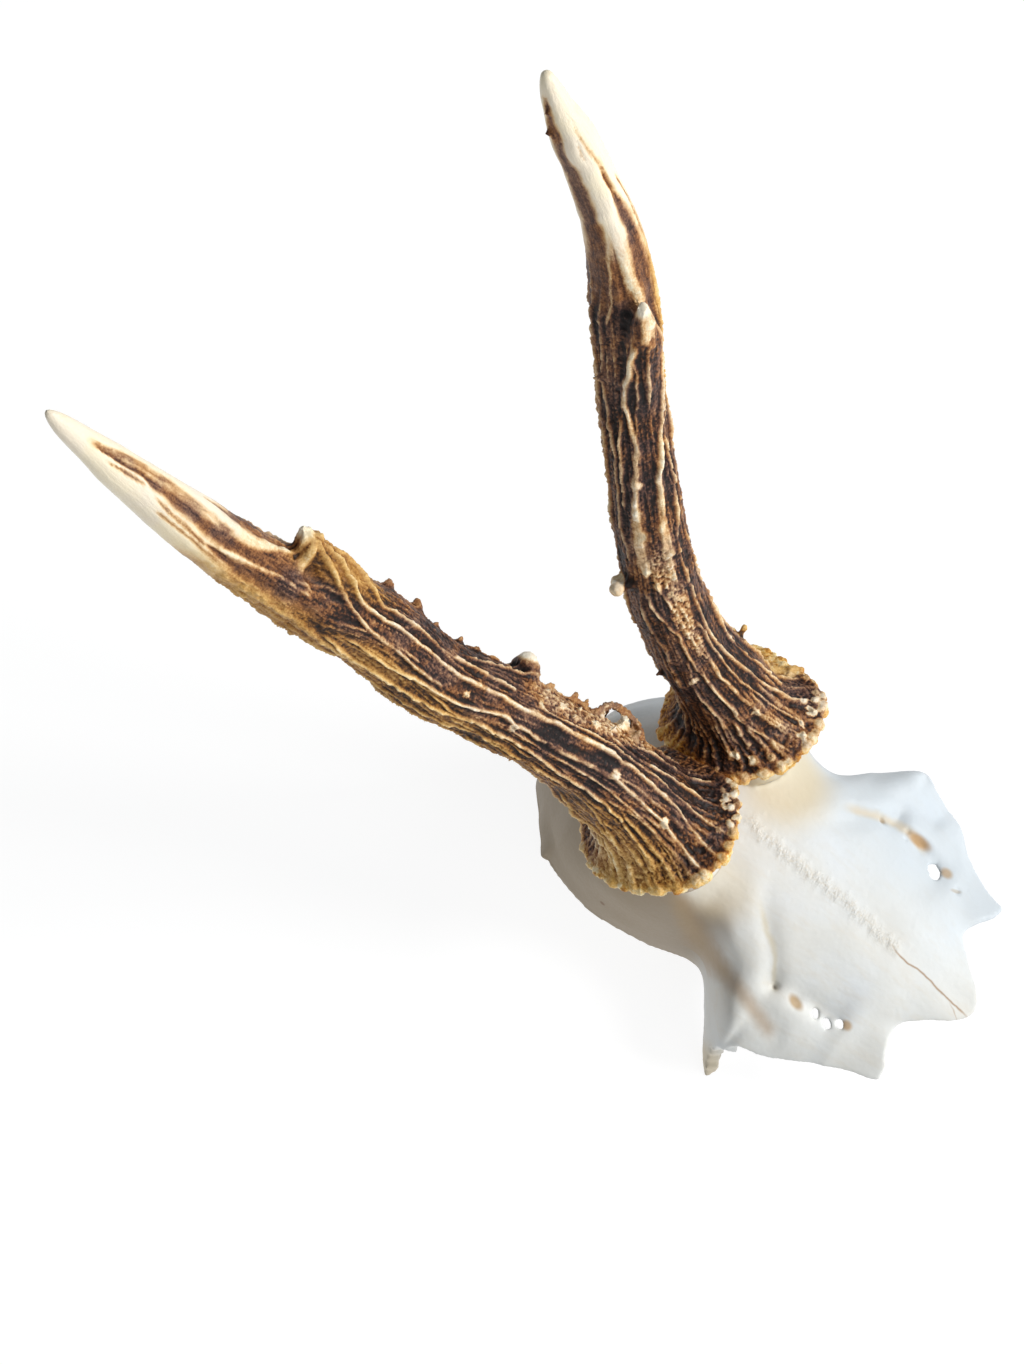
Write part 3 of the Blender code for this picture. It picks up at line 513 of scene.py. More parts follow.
class Antler:
    """The measures of one antler, and the way from a place on it to a point in space and back."""

    def __init__(self, table):
        vars(self).update(table)
        self.path = np.array(self.path, float)
        self.burr_axis = unit(np.array(self.burr_axis))
        self.steps = np.concatenate([[0.0], np.cumsum(np.linalg.norm(np.diff(self.path, axis=0), axis=1))])
        self.length = self.steps[-1]
        self.profile = BURR_PROFILE + self.shaft
        self.side = math.copysign(1, self.path[0, 0])
        self.chance = np.random.default_rng(self.seed)
        self.shift = self.seed * 7.3

    def centre(self, distance):
        return spline(self.path, np.interp(distance, self.steps, np.arange(len(self.steps))))

    def frame(self, distance):
        """Centre, axis and the two directions across it, at each distance."""
        above = np.clip(distance, 0.0, self.length - 1.5)
        centre = self.centre(np.maximum(distance, 0.0)) + self.burr_axis * np.minimum(distance, 0.0)[:, None]
        along = unit(self.centre(above + 1.5) - self.centre(np.maximum(above - 1.5, 0.0)))
        axis = unit(lerp(self.burr_axis, along, smooth_step(2.0, 16.0, distance)[:, None]))
        return centre, axis, *across(axis)

    def lobe_angles(self):
        first, last, count = self.lobes
        return np.linspace(first, last, count) + 2.5 * np.sin(np.arange(count) * 2.4)

    def radius(self, distance):
        return table_value(distance, self.profile)

    def hollow(self, distance, angle):
        """How much less than its profile the shaft measures at places on it."""
        return patch_sum(self.hollows, distance, angle, 0, 1)

    def place(self, distance, angle, lift=0.0):
        """Points in space of places on the surface, lifted off it."""
        distance, angle = np.atleast_1d(np.asarray(distance, float)), np.atleast_1d(np.asarray(angle, float))
        centre, _, forward, sideways = self.frame(distance)
        turn = np.radians(angle)[:, None]
        reach = self.radius(distance) - self.hollow(distance, angle) + lift
        return centre + (forward * np.cos(turn) + sideways * np.sin(turn)) * reach[:, None]

    def locate(self, points):
        """Distance, angle and distance from the path of points in space."""
        samples = np.arange(0.0, self.length, 2.0)
        centres = self.centre(samples)
        gaps = (centres ** 2).sum(1) - 2 * points @ centres.T
        distance = samples[gaps.argmin(axis=1)]
        for _ in range(14):
            centre, axis, forward, sideways = self.frame(distance)
            ahead = ((points - centre) * axis).sum(1)
            distance = np.clip(distance + 0.75 * ahead, -8.0, self.length)
        offset = points - centre
        over, beside = (offset * forward).sum(1), (offset * sideways).sum(1)
        return distance, np.degrees(np.arctan2(beside, over)), np.hypot(over, beside)


def new_object(name, mesh):
    obj = bpy.data.objects.new(name, mesh)
    bpy.context.scene.collection.objects.link(obj)
    return obj


def object_from(name, shape):
    """An object from a bmesh, which is freed."""
    mesh = bpy.data.meshes.new(name)
    shape.to_mesh(mesh)
    shape.free()
    return new_object(name, mesh)


def add_rings(shape, rings):
    """A closed tube through rings of points, in mm, with both ends filled."""
    rows = [[shape.verts.new(Vector(point) * MM) for point in ring] for ring in rings]
    for low, high in zip(rows, rows[1:]):
        for index, start in enumerate(low):
            beside = (index + 1) % len(low)
            shape.faces.new((start, low[beside], high[beside], high[index]))
    shape.faces.new(tuple(reversed(rows[0])))
    shape.faces.new(tuple(rows[-1]))


def add_stalk(shape, points, radii, sides):
    """A round stalk through points with a radius at each, in mm."""
    fine = np.linspace(0, len(points) - 1, 6 * len(points))
    line = spline(points, fine)
    widths = np.maximum(np.interp(fine, np.arange(len(radii)), radii), 0.05)
    add_rings(shape, line[:, None] + circles(unit(np.gradient(line, axis=0)), sides) * widths[:, None, None])


def evaluated(obj):
    """A new mesh of the object with its modifiers applied."""
    graph = bpy.context.evaluated_depsgraph_get()
    return bpy.data.meshes.new_from_object(obj.evaluated_get(graph))


def apply_modifier(obj, kind, **settings):
    modifier = obj.modifiers.new(kind, kind)
    for key, value in settings.items():
        setattr(modifier, key, value)
    mesh = evaluated(obj)
    obj.modifiers.clear()
    obj.vertex_groups.clear()
    old = obj.data
    obj.data = mesh
    bpy.data.meshes.remove(old)


def even_mesh(obj, voxel):
    """The object's parts joined as one closed surface of even small faces."""
    apply_modifier(obj, "REMESH", mode="VOXEL", voxel_size=voxel * MM)


def thin_out(obj, kept, group=""):
    """Keep a share of the faces, most of them where the surface bends."""
    apply_modifier(obj, "DECIMATE", ratio=kept, vertex_group=group)


def finish_mesh(obj, material):
    obj.data.shade_smooth()
    obj.data.materials.clear()
    obj.data.materials.append(material)


class Surface:
    """Points in mm and edges of an object's mesh as arrays, with the work done on them."""

    def __init__(self, obj):
        self.mesh = obj.data
        self.count = len(self.mesh.vertices)
        self.points = self.read(self.mesh.vertices, "co") / MM
        edges = np.empty(len(self.mesh.edges) * 2, int)
        self.mesh.edges.foreach_get("vertices", edges)
        edges = edges.reshape(-1, 2)
        self.ends = np.concatenate([edges, edges[:, ::-1]])
        self.neighbours = np.maximum(np.bincount(self.ends[:, 0], minlength=self.count), 1)

    def read(self, items, field):
        values = np.empty(self.count * 3)
        items.foreach_get(field, values)
        return values.reshape(-1, 3)

    def spread(self, values, rounds):
        """Values averaged with their neighbours'."""
        values = values.reshape(self.count, -1).astype(float)
        for _ in range(rounds):
            around = np.stack([
                np.bincount(self.ends[:, 0], weights=column[self.ends[:, 1]], minlength=self.count)
                for column in values.T
            ], axis=1)
            values = lerp(values, around / self.neighbours[:, None], 0.5)
        return values

    def smooth(self, rounds):
        self.points = self.spread(self.points, rounds)
        self.store()

    def store(self):
        self.mesh.vertices.foreach_set("co", (self.points * MM).ravel())
        self.mesh.update()

    def normals(self):
        return self.read(self.mesh.vertex_normals, "vector")

    def height(self, rounds):
        """How far each point stands over the mean of its surroundings, in mm."""
        return ((self.points - self.spread(self.points, rounds)) * self.normals()).sum(1)

    def attributes(self, **fields):
        for name, values in fields.items():
            kind, field = ("FLOAT", "value") if values.ndim == 1 else ("FLOAT_VECTOR", "vector")
            self.mesh.attributes.new(name, kind, "POINT").data.foreach_set(field, values.ravel())


def line_field(antler, rows, distance, angle, radius):
    """Nearness from 0 to 1 to a line of places on an antler, thinning out at its ends."""
    along, around, widths = np.array(sorted(rows)).T
    middle = np.interp(distance, along, around)
    width = np.interp(distance, along, widths)
    samples = np.arange(-10.0, antler.length + 10.0)
    track = np.stack([samples / 3.5, np.full(len(samples), around[0]), np.zeros(len(samples))], axis=1)
    wander = 0.35 * np.interp(distance, samples, noise(track, antler.shift))
    lean = np.radians(np.interp(distance, along, np.gradient(around, along))) * radius
    swell = 1 + 0.3 * np.interp(distance, samples, noise(track * 1.7, antler.shift + 60))
    width = width * swell * lerp(0.74, 1.0, smooth_step(126, 136, distance))
    gap = (np.radians(turn_between(angle, middle)) * radius + wander) / np.sqrt(1 + lean ** 2)
    ends = smooth_step(along[0] - 2.5, along[0] + 1.0, distance)
    ends = ends * (1 - smooth_step(along[-1] - 1.0, along[-1] + 2.5, distance))
    return bell(gap, width) * ends


def seeded_ridge(chance, angle, start, end, count, swerve, widths, heights, tones):
    """One ridge with a seeded course, half-widths, height and paleness."""
    places = [(distance, angle + chance.uniform(-swerve, swerve), chance.uniform(*widths))
              for distance in np.linspace(start, end, count)]
    return chance.uniform(*heights), chance.uniform(*tones), places


def seeded_ridges(antler):
    """Ribs behind the rim's lobes, ridges at the back, a fan over the burr and short fine ridges."""
    chance = antler.chance
    rows = []
    for angle in antler.lobe_angles():
        rows.append((chance.uniform(0.7, 1.1), chance.uniform(0.2, 0.5), (
            (-1.5, angle, 1.3), (4, angle, 1.1), (9, angle + chance.uniform(-2, 2), 0.9),
            (chance.uniform(14, 22), angle + chance.uniform(-5, 5), 0.6))))
    first, last, count = antler.back
    longest = RIDGES_END * antler.length
    for number in range(count):
        angle = lerp(first, last, (number + chance.uniform(0.2, 0.8)) / count)
        for low, high in ((2, 0.52 * longest), (0.46 * longest, longest)):
            start, end = low + chance.uniform(0, 12), high - chance.uniform(0, 22)
            rows.append(seeded_ridge(chance, angle, start, end, 6, 7, (0.5, 0.8), (0.6, 1.0), (0.4, 0.9)))
    for number in range(FAN_RIDGES):
        angle = 360 * (number + chance.uniform(0.1, 0.9)) / FAN_RIDGES - 180
        end = chance.uniform(12, 38)
        rows.append(seeded_ridge(chance, angle, 1, end, 4, 3, (0.5, 0.9), (0.4, 0.8), (0.0, 0.3)))
    for _ in range(THIN_RIDGES):
        start, angle = chance.uniform(22, 112), chance.uniform(-180, 180)
        end = start + chance.uniform(9, 30)
        rows.append(seeded_ridge(chance, angle, start, end, 3, 6, (0.3, 0.5), (0.35, 0.7), (0.05, 0.6)))
    return rows


def all_knobs(antler):
    """Centre, radius and tone of the pearls round the burr and of the table's knobs, each with two beside it."""
    chance = antler.chance
    knobs = []
    for angle in antler.lobe_angles():
        for distance, lift, radius in LOBE_PEARLS:
            centre = antler.place(distance, angle + chance.uniform(-1.5, 1.5), lift)[0]
            knobs.append((centre, radius * chance.uniform(0.75, 1.1), chance.uniform(0.62, 0.88)))
    for count, distances, lifts, radii in BURR_PEARLS:
        for number in range(count):
            angle = 360 * (number + chance.uniform(0, 0.9)) / count
            centre = antler.place(chance.uniform(*distances), angle, chance.uniform(*lifts))[0]
            knobs.append((centre, chance.uniform(*radii), chance.uniform(0.42, 0.82)))
    for distance, angle, radius, lift, tone in antler.knobs:
        knobs.append((antler.place(distance, angle, lift)[0], radius, tone))
        for _ in range(2):
            beside = angle + math.degrees(chance.uniform(-0.9, 0.9) * radius / antler.radius(distance))
            centre = antler.place(distance + chance.uniform(-1.1, 1.1) * radius, beside, lift - 0.2)[0]
            knobs.append((centre, radius * chance.uniform(0.55, 0.85), tone - 0.06))
    return knobs


def bridge_knobs(antler):
    """The low arch of bone that bridges a hollow over the right burr."""
    knobs = []
    for start, end in zip(BRIDGE, BRIDGE[1:]):
        for share in (0.0, 0.33, 0.66):
            place = [lerp(low, high, share) for low, high in zip(start, end)]
            knobs.append((antler.place(*place)[0], BRIDGE_RADIUS, BRIDGE_TONE))
    return knobs


def crest_knobs(antler):
    """The spongy crest at the back of the left burr, and the round end of the stalked knob."""
    chance = antler.chance
    knobs = list(STALKED_KNOB)
    for _ in range(CREST_KNOBS):
        share = chance.uniform(0, 1)
        angle = lerp(88, 76, share) + chance.uniform(-14, 26)
        centre = antler.place(lerp(24, -1, share), angle, chance.uniform(-2.0, -0.8))[0]
        knobs.append((centre, chance.uniform(0.8, 1.6), chance.uniform(0.62, 0.82)))
    return knobs


def add_shaft(shape, antler):
    """The plain tapering tube that carries the ridges, from the seat to the tip."""
    count = int((antler.length + SEAT_DROP) / TUBE_STEP)
    angle = np.arange(TUBE_COLUMNS) * 360 / TUBE_COLUMNS
    rings = []
    for distance in np.linspace(-SEAT_DROP, antler.length, count):
        ring = antler.place(np.full(TUBE_COLUMNS, distance), angle)
        keep_aside(ring, antler)
        rings.append(ring)
    rings[-1] = rings[-2] * 0.02 + rings[-1].mean(axis=0) * 0.98
    add_rings(shape, rings)


def keep_aside(points, antler):
    """Keep an antler's points on its own side of the midline."""
    points[:, 0] = antler.side * np.maximum(antler.side * points[:, 0], BURR_CLEARANCE)


def relief(antler, surface, distance, angle, proud):
    """Displacement in mm, paleness of the ridges, and the other fields that the colours need."""
    radius = antler.radius(distance)
    shift = antler.shift
    turn = np.radians(angle)
    grow = np.stack([distance, radius * np.cos(turn), radius * np.sin(turn)], axis=1)
    bead = noise(grow * (0.75, 0.4, 0.4), shift + 31)
    broken = noise(grow * (0.13, 0.35, 0.35), shift + 47)
    gaps = np.clip(0.72 + 0.5 * broken + 0.3 * bead, 0.1, 1.0)
    whole = lerp(np.clip(0.8 + 0.9 * broken + 0.4 * bead, 0.12, 1.0), 1.0, smooth_step(130, 140, distance))
    height, pale, furrow, cut = np.zeros((4, len(distance)))
    for number, (line_height, line_pale, rows) in enumerate(antler.ridges + tuple(seeded_ridges(antler))):
        near = line_field(antler, rows, distance, angle, radius)
        height = np.maximum(height, near * line_height * (0.85 + 0.45 * bead + 0.5 * broken))
        kept = lerp(whole, 1.0, 0.7 * (line_pale > 0.9))
        drawn = number < len(antler.ridges)
        shown = np.clip(1.5 * near - 0.3, 0, 1) * kept if drawn else near * gaps
        pale = np.maximum(pale, shown * line_pale)
    for depth, rows in antler.furrows:
        near = line_field(antler, rows, distance, angle, radius)
        furrow = np.maximum(furrow, near)
        cut = np.maximum(cut, near * depth)
    coarse = noise(grow * (0.11, 0.8, 0.8), shift)
    fine = noise(grow * (0.2, 1.6, 1.6), shift + 11)
    fibres = 0.6 * np.clip(1 - 2.8 * np.abs(coarse), 0, 1) + 0.4 * np.clip(1 - 2.4 * np.abs(fine), 0, 1)
    grain = noise(surface.points * 1.7, shift) + 0.6 * noise(surface.points * 3.1, shift + 5)
    wave = noise(surface.points * 0.11, shift + 3)
    plain_from, plain_to = RIDGES_FADE * antler.length, RIDGES_END * antler.length
    fade = smooth_step(0.0, 8.0, distance) * (1 - smooth_step(plain_from, plain_to, distance))
    flush = 1 - smooth_step(0.5, 2.0, proud)
    moss = patch_field(antler.moss, distance, angle)
    rise = fade * flush * (-FURROW_DEPTH + height * (1 - 0.6 * moss) + 0.42 * fibres) - cut
    rise += 0.35 * wave * smooth_step(4, 20, distance)
    rough = 0.04 + 0.12 * fade + 0.26 * moss + 0.16 * (1 - smooth_step(2, 9, distance))
    rise += grain * rough * (1 - 0.9 * smooth_step(*antler.pale, distance))
    return rise, pale * flush, furrow, cut, fibres, moss, grow, bead


def paint(antler, surface, distance, angle, proud, pale, furrow, cut, fibres, moss, bead):
    """Tone from 0 in the darkest furrow to 1 on white bone, nearness to the burr, and polish."""
    speck = noise(surface.points * 2.3, antler.shift + 17)
    broad = noise(surface.points * 0.16, antler.shift + 23)
    grit = noise(surface.points * 1.3, antler.shift + 71)
    high = surface.height(14)
    shade = patch_sum(antler.shades, distance, angle, 0.4, 1.3)
    tone = 0.17 + 0.17 * broad + 0.08 * speck + 0.07 * grit + 0.12 * fibres
    tone += np.clip(high, -0.5, 0.5) * 0.55 + np.clip(surface.height(3), -0.12, 0.12) * 0.9
    tone += shade
    crest = 0.84 + 0.08 * smooth_step(0.75, 0.95, pale) + 0.1 * bead
    tone = lerp(tone, crest, np.clip(pale * 1.05, 0, 1) * (0.85 + 0.15 * speck))
    tone = lerp(tone, 0.4 * tone + 0.41 + 0.2 * speck + 0.5 * high, moss * 0.9)
    tip = smooth_step(*antler.pale, distance + 5 * broad + 2 * fibres)
    tone = lerp(tone, 0.93, tip)
    tan = patch_field(antler.tan, distance, angle)
    tone = lerp(tone, 0.45 * tone + 0.3 + 0.1 * broad + 0.07 * speck, tan)
    streak = np.clip(furrow * 1.6 - 0.2 * (1 + speck) - 0.2 * (1 - fibres) - 0.9 * pale, 0, 1)
    tone = lerp(tone, 0.48 - 0.26 * np.clip(cut / 0.5, 0, 1) + 0.1 * speck + 0.15 * fibres, streak)
    tone = lerp(tone, 0.58 + 0.1 * speck, smooth_step(1.0, 3.0, proud) * (distance > 20))
    rim = table_value(angle, antler.rim)
    burr = 1 - smooth_step(-2.4, 1.4, distance + 1.4 * speck + 1.6 * broad - rim * (1 + 0.3 * broad))
    rim_tone = 0.56 + 0.7 * shade + 0.24 * speck + 0.9 * high + 0.15 * broad + 0.25 * pale
    return lerp(tone, np.maximum(0.8 * tone, rim_tone), burr), burr, tip * (1 - streak)


def near_stalk(points, line, radii):
    """1 on a stalk, falling to 0 beyond its surface."""
    fine = np.linspace(0, len(line) - 1, 30)
    widths = np.interp(fine, np.arange(len(radii)), radii) + 0.6
    nearest = np.full(len(points), 9.0)
    for centre, width in zip(spline(line, fine), widths):
        nearest = np.minimum(nearest, np.linalg.norm(points - centre, axis=1) / width)
    return 1 - smooth_step(1.05, 1.4, nearest)


def build_antler(table):
    """One whole antler as one piece of even mesh with its relief."""
    antler = Antler(table)
    shape = bmesh.new()
    add_shaft(shape, antler)
    tine = np.array(antler.tine)
    tine_line = antler.place(tine[:, 0], tine[:, 1], tine[:, 2])
    add_stalk(shape, tine_line, tine[:, 3], TINE_SIDES)
    tips = []
    for distance, angle, lift, thickness, tone in antler.thorns:
        root = antler.place(distance - 1.5, angle, -2.5)[0]
        tip = antler.place(distance, angle, lift)[0]
        points = [lerp(root, tip, share) for share, _ in THORN_SHAPE]
        add_stalk(shape, points, [thickness * size for _, size in THORN_SHAPE], THORN_SIDES)
        tips.append((tip, 0.3 + 0.62 * thickness, tone))
    knobs = all_knobs(antler)
    knobs += bridge_knobs(antler) if antler.side < 0 else crest_knobs(antler)
    for centre, radius, _ in knobs:
        moved = Matrix.Translation(Vector(centre) * MM)
        bmesh.ops.create_icosphere(shape, subdivisions=2, radius=radius * MM, matrix=moved)
    obj = object_from(f"{antler.name}_bone", shape)
    even_mesh(obj, ANTLER_VOXEL)
    surface = Surface(obj)
    surface.smooth(2)
    distance, angle, radius = antler.locate(surface.points)
    proud = radius - antler.radius(distance) + antler.hollow(distance, angle)
    proud *= 1 - near_stalk(surface.points, tine_line, tine[:, 3])
    rise, pale, furrow, cut, fibres, moss, grow, bead = relief(antler, surface, distance, angle, proud)
    surface.points += surface.normals() * rise[:, None]
    keep_aside(surface.points, antler)
    surface.store()
    tone, burr, polish = paint(antler, surface, distance, angle, proud, pale, furrow, cut, fibres, moss, bead)
    tine_tip = np.linalg.norm(surface.points - tine_line[-1], axis=1)
    white = 1 - smooth_step(*antler.tine_white, tine_tip)
    tone = lerp(tone, 0.95, white)
    for centre, radius, knob_tone in knobs + tips:
        gap = np.linalg.norm(surface.points - centre, axis=1) / radius
        tone = lerp(tone, knob_tone, 1 - smooth_step(0.85, 1.2, gap))
    surface.attributes(
        tone=np.clip(tone, 0, 1), burr=np.clip(burr, 0, 1), polish=np.clip(np.maximum(polish, white), 0, 1),
        olive=patch_field(antler.olive, distance, angle), moss=moss, grow=grow * MM)
    triangles = sum(len(face.vertices) - 2 for face in surface.mesh.polygons)
    thin_out(obj, min(1.0, ANTLER_TRIANGLES / triangles))
    finish_mesh(obj, antler_material(f"{antler.name}_bone"))
    return obj


class Tree:
    """Short calls for building one node material."""

    def __init__(self, name):
        self.material = bpy.data.materials.new(name)
        self.material.use_nodes = True
        self.tree = self.material.node_tree
        self.shader = self.tree.nodes["Principled BSDF"].inputs

    def feed(self, socket, value):
        if isinstance(value, bpy.types.NodeSocket):
            self.tree.links.new(value, socket)
        else:
            socket.default_value = value

    def node(self, kind, inputs, output=0, **settings):
        """An output of a new node. inputs gives a value, or another node's output, for each socket."""
        node = self.tree.nodes.new("ShaderNode" + kind)
        for key, value in settings.items():
            setattr(node, key, value)
        for socket, value in inputs.items():
            self.feed(node.inputs[socket], value)
        return node.outputs[output]

    def field(self, name, output="Fac"):
        return self.node("Attribute", {}, output, attribute_name=name)

    def place(self):
        return self.node("TexCoord", {}, "Object")

    def math(self, operation, first, second=0.0, clamp=False):
        return self.node("Math", {0: first, 1: second}, operation=operation, use_clamp=clamp)

    def times(self, first, second):
        return self.math("MULTIPLY", first, second)

    def stretched(self, vector, scale):
        return self.node("Mapping", {"Vector": vector, "Scale": scale})

    def noise(self, vector, scale, detail=3.0, roughness=0.55):
        inputs = {"Vector": vector, "Scale": scale, "Detail": detail, "Roughness": roughness}
        return self.node("TexNoise", inputs, "Fac")

    def ramp(self, value, stops):
        """A colour for the value. Each stop is a position and the colour's usual values."""
        colour = self.node("ValToRGB", {"Fac": value}, "Color")
        stored = colour.node.color_ramp.elements
        while len(stored) < len(stops):
            stored.new(0.5)
        for element, (position, *levels) in zip(stored, stops):
            element.position = position
            element.color = srgb(*levels)
        return colour

    def band(self, value, low, high, start=0.0, end=1.0):
        """A value read on a smooth slope from start, at low, to end, at high."""
        inputs = {"Value": value, "From Min": low, "From Max": high, "To Min": start, "To Max": end}
        return self.node("MapRange", inputs, interpolation_type="SMOOTHSTEP")

    def mix(self, share, first, second):
        return self.node("Mix", {"Factor": share, "A": first, "B": second}, "Result", data_type="RGBA")

    def bump(self, height, distance, strength, **normal):
        inputs = {"Strength": strength, "Distance": distance * MM, "Height": height, **normal}
        return self.node("Bump", inputs)


def antler_material(name):
    """Horn-brown furrows, cream ridges, ivory tips and a yellow burr."""
    tree = Tree(name)
    place = tree.place()
    grow = tree.field("grow", "Vector")
    fibre = tree.noise(tree.stretched(grow, (0.16, 1.0, 1.0)), 1900, 3.0, 0.6)
    grit = tree.noise(place, 2600, 2.0, 0.6)
    cloud = tree.noise(place, 130, 3.0, 0.5)
    polish = tree.field("polish")
    rough_share = tree.math("SUBTRACT", 1.0, tree.times(polish, 0.85))
    stir = tree.math("ADD", tree.times(tree.math("SUBTRACT", fibre, 0.5), 0.34),
                     tree.times(tree.math("SUBTRACT", grit, 0.5), 0.42))
    tone = tree.math("ADD", tree.field("tone"), tree.times(stir, rough_share), clamp=True)
    colour = tree.mix(tree.band(cloud, 0.42, 0.6), tree.ramp(tone, BROWN), tree.ramp(tone, PURPLE))
    colour = tree.mix(tree.times(tree.field("olive"), 0.8), colour, tree.ramp(tone, GOLDEN))
    colour = tree.mix(tree.field("burr"), colour, tree.ramp(tone, YELLOW))
    tree.feed(tree.shader["Base Color"], colour)
    tree.feed(tree.shader["Roughness"], tree.band(polish, 0.0, 1.0, 0.52, 0.32))
    tree.shader["Specular IOR Level"].default_value = 0.25
    normal = tree.bump(grit, 0.12, 0.5)
    tree.feed(tree.shader["Normal"], tree.bump(fibre, 0.22, 0.6, Normal=normal))
    return tree.material


def skull_point(width_share, length_share):
    """Points on the outside of the skull, from the right edge to the left one and from front to rear."""
    side = 2 * width_share - 1
    rows = spline(SKULL_SECTIONS, length_share * (len(SKULL_SECTIONS) - 1))
    rows = np.concatenate([rows[:, 1:2] * (-1, 1, 1), rows], axis=1)
    last = rows.shape[1] - 2
    position = 1 + np.abs(side) * last
    low = np.minimum(position.astype(int), last)
    index = np.arange(len(rows))
    after = rows[index, np.minimum(low + 2, last + 1)]
    points = cubic(rows[index, low - 1], rows[index, low], rows[index, low + 1], after, (position - low)[:, None])
    points[:, 2] -= dent_depth(points[:, 0], points[:, 1])
    y = points[:, 1]
    reach = np.where(side > 0, table_value(y, LEFT_EDGE_REACH), table_value(y, RIGHT_EDGE_REACH))
    points[:, 0] += reach * smooth_step(0.3, 0.75, np.abs(side))
    corner = table_value(y, RIM_CORNER) * (side < 0)
    corner *= 1 - smooth_step(0, RIM_CORNER_HEIGHT, points[:, 2])
    points[:, 0] += 0.8 * corner
    points[:, 1] += 0.55 * corner
    points[:, 0] *= np.where(side < 0, -1, 1)
    rear = smooth_step(-32, -8, points[:, 1]) * smooth_step(-14, 4, points[:, 0])
    points[:, 1] -= REAR_DRAWN_IN * rear
    return points


def dent_depth(x, y):
    """How far the brow dents lower the surface."""
    depth = np.zeros(len(x))
    for dent_x, dent_y, half_length, half_width, turn, deepest in BROW_DENTS:
        over, up = turned(x - dent_x, y - dent_y, math.radians(turn))
        depth += deepest * np.exp(-(over / half_length) ** 2 - (up / half_width) ** 2)
    return depth


def turned(x, y, angle):
    return x * math.cos(angle) - y * math.sin(angle), x * math.sin(angle) + y * math.cos(angle)


def bone_thickness(points):
    """Thin at the front edge, thick under the pedicles, a saw-cut wall's thickness elsewhere."""
    thickness = lerp(FRONT_EDGE_THICKNESS, RIM_THICKNESS, smooth_step(-118, -85, points[:, 1]))
    for table in (RIGHT, LEFT):
        x, y, _ = table["path"][0]
        offset = (points - (x, y, 38)) * (1.0, 0.9, 0.8)
        share = 1 - smooth_step(8, 20, np.linalg.norm(offset, axis=1))
        thickness += (SKULL_THICKEST - RIM_THICKNESS) * share
    for side, x, y, *_ in BROW_HOLES:
        gap = np.hypot(points[:, 0] - side * x, points[:, 1] - y)
        thickness = lerp(HOLE_EDGE_THICKNESS, thickness, smooth_step(1.5, 7.0, gap))
    return np.minimum(thickness, SKULL_THICKEST)


def skull_shell():
    """The bone as a closed shell with its brow holes, before the saw cut at the table."""
    columns, rows = SKULL_ACROSS + 1, SKULL_ALONG + 1
    width_share, length_share = np.meshgrid(np.linspace(0, 1, columns), np.linspace(0, 1, rows))
    outer = skull_point(width_share.ravel(), length_share.ravel())
    x, y, z = np.moveaxis(outer.reshape(rows, columns, 3)[:-1, :-1], -1, 0)
    keep = np.ones((rows - 1, columns - 1), bool)
    for side, hole_x, hole_y, length, width, turn in BROW_HOLES:
        over, up = turned(x - side * hole_x, y - hole_y, math.radians(turn) * side)
        keep &= ((over / (width / 2)) ** 2 + (up / (length / 2)) ** 2 > 1) | (z < 12)
    spike_front = table_value(z, SPIKE_FRONT) + 0.2 * np.sin(z * 2.3) + 0.15 * np.sin(z * 5.1)
    keep &= ~((z < SPIKE_TOP) & (np.abs(x) > 39) & (y < spike_front))
    index = np.arange(rows * columns).reshape(rows, columns)
    corners = np.stack([index[:-1, :-1], index[:-1, 1:], index[1:, 1:], index[1:, :-1]], axis=-1)
    mesh = bpy.data.meshes.new("skull_cap_bone")
    mesh.from_pydata((outer * MM).tolist(), [], corners[keep].tolist())
    shape = bmesh.new()
    shape.from_mesh(mesh)
    bmesh.ops.recalc_face_normals(shape, faces=shape.faces)
    if max(shape.faces, key=lambda face: face.calc_center_median().z).normal.z < 0:
        bmesh.ops.reverse_faces(shape, faces=shape.faces)
    shape.to_mesh(mesh)
    shape.free()
    skull = new_object("skull_cap_bone", mesh)
    group = skull.vertex_groups.new(name="thickness")
    for number, thickness in enumerate(bone_thickness(outer)):
        group.add([number], thickness / SKULL_THICKEST, "REPLACE")
    apply_modifier(skull, "SOLIDIFY", thickness=SKULL_THICKEST * MM, offset=-1.0, vertex_group="thickness")
    return skull


def add_pedicle(shape, table):
    """The bony stem under one antler, with a slight collar under the burr."""
    axis = unit(np.array(table["burr_axis"]))
    top = np.array(table["path"][0], float) - axis * (SEAT_DROP + SEAT_GAP)
    ring = circles(axis, PEDICLE_SIDES)
    add_rings(shape, [top - axis * drop + np.array((0, -1, 0)) * drop * 0.15 + ring * radius
                      for drop, radius in PEDICLE])


def build_skull():
    """The skull cap with its pedicles as one piece of even mesh with its relief."""
    skull = skull_shell()
    shape = bmesh.new()
    shape.from_mesh(skull.data)
    everything = list(shape.verts) + list(shape.edges) + list(shape.faces)
    cut = bmesh.ops.bisect_plane(
        shape, geom=everything, plane_co=(0, 0, 0), plane_no=(0, 0, -1), clear_outer=True)
    edges = [item for item in cut["geom_cut"] if isinstance(item, bmesh.types.BMEdge)]
    bmesh.ops.holes_fill(shape, edges=edges, sides=0)
    for table in (RIGHT, LEFT):
        add_pedicle(shape, table)
    shape.to_mesh(skull.data)
    shape.free()
    even_mesh(skull, SKULL_VOXEL)
    thin_inside(skull)
    surface = Surface(skull)
    surface.smooth(3)
    skull_relief(surface)
    finish_mesh(skull, skull_material())
    return skull


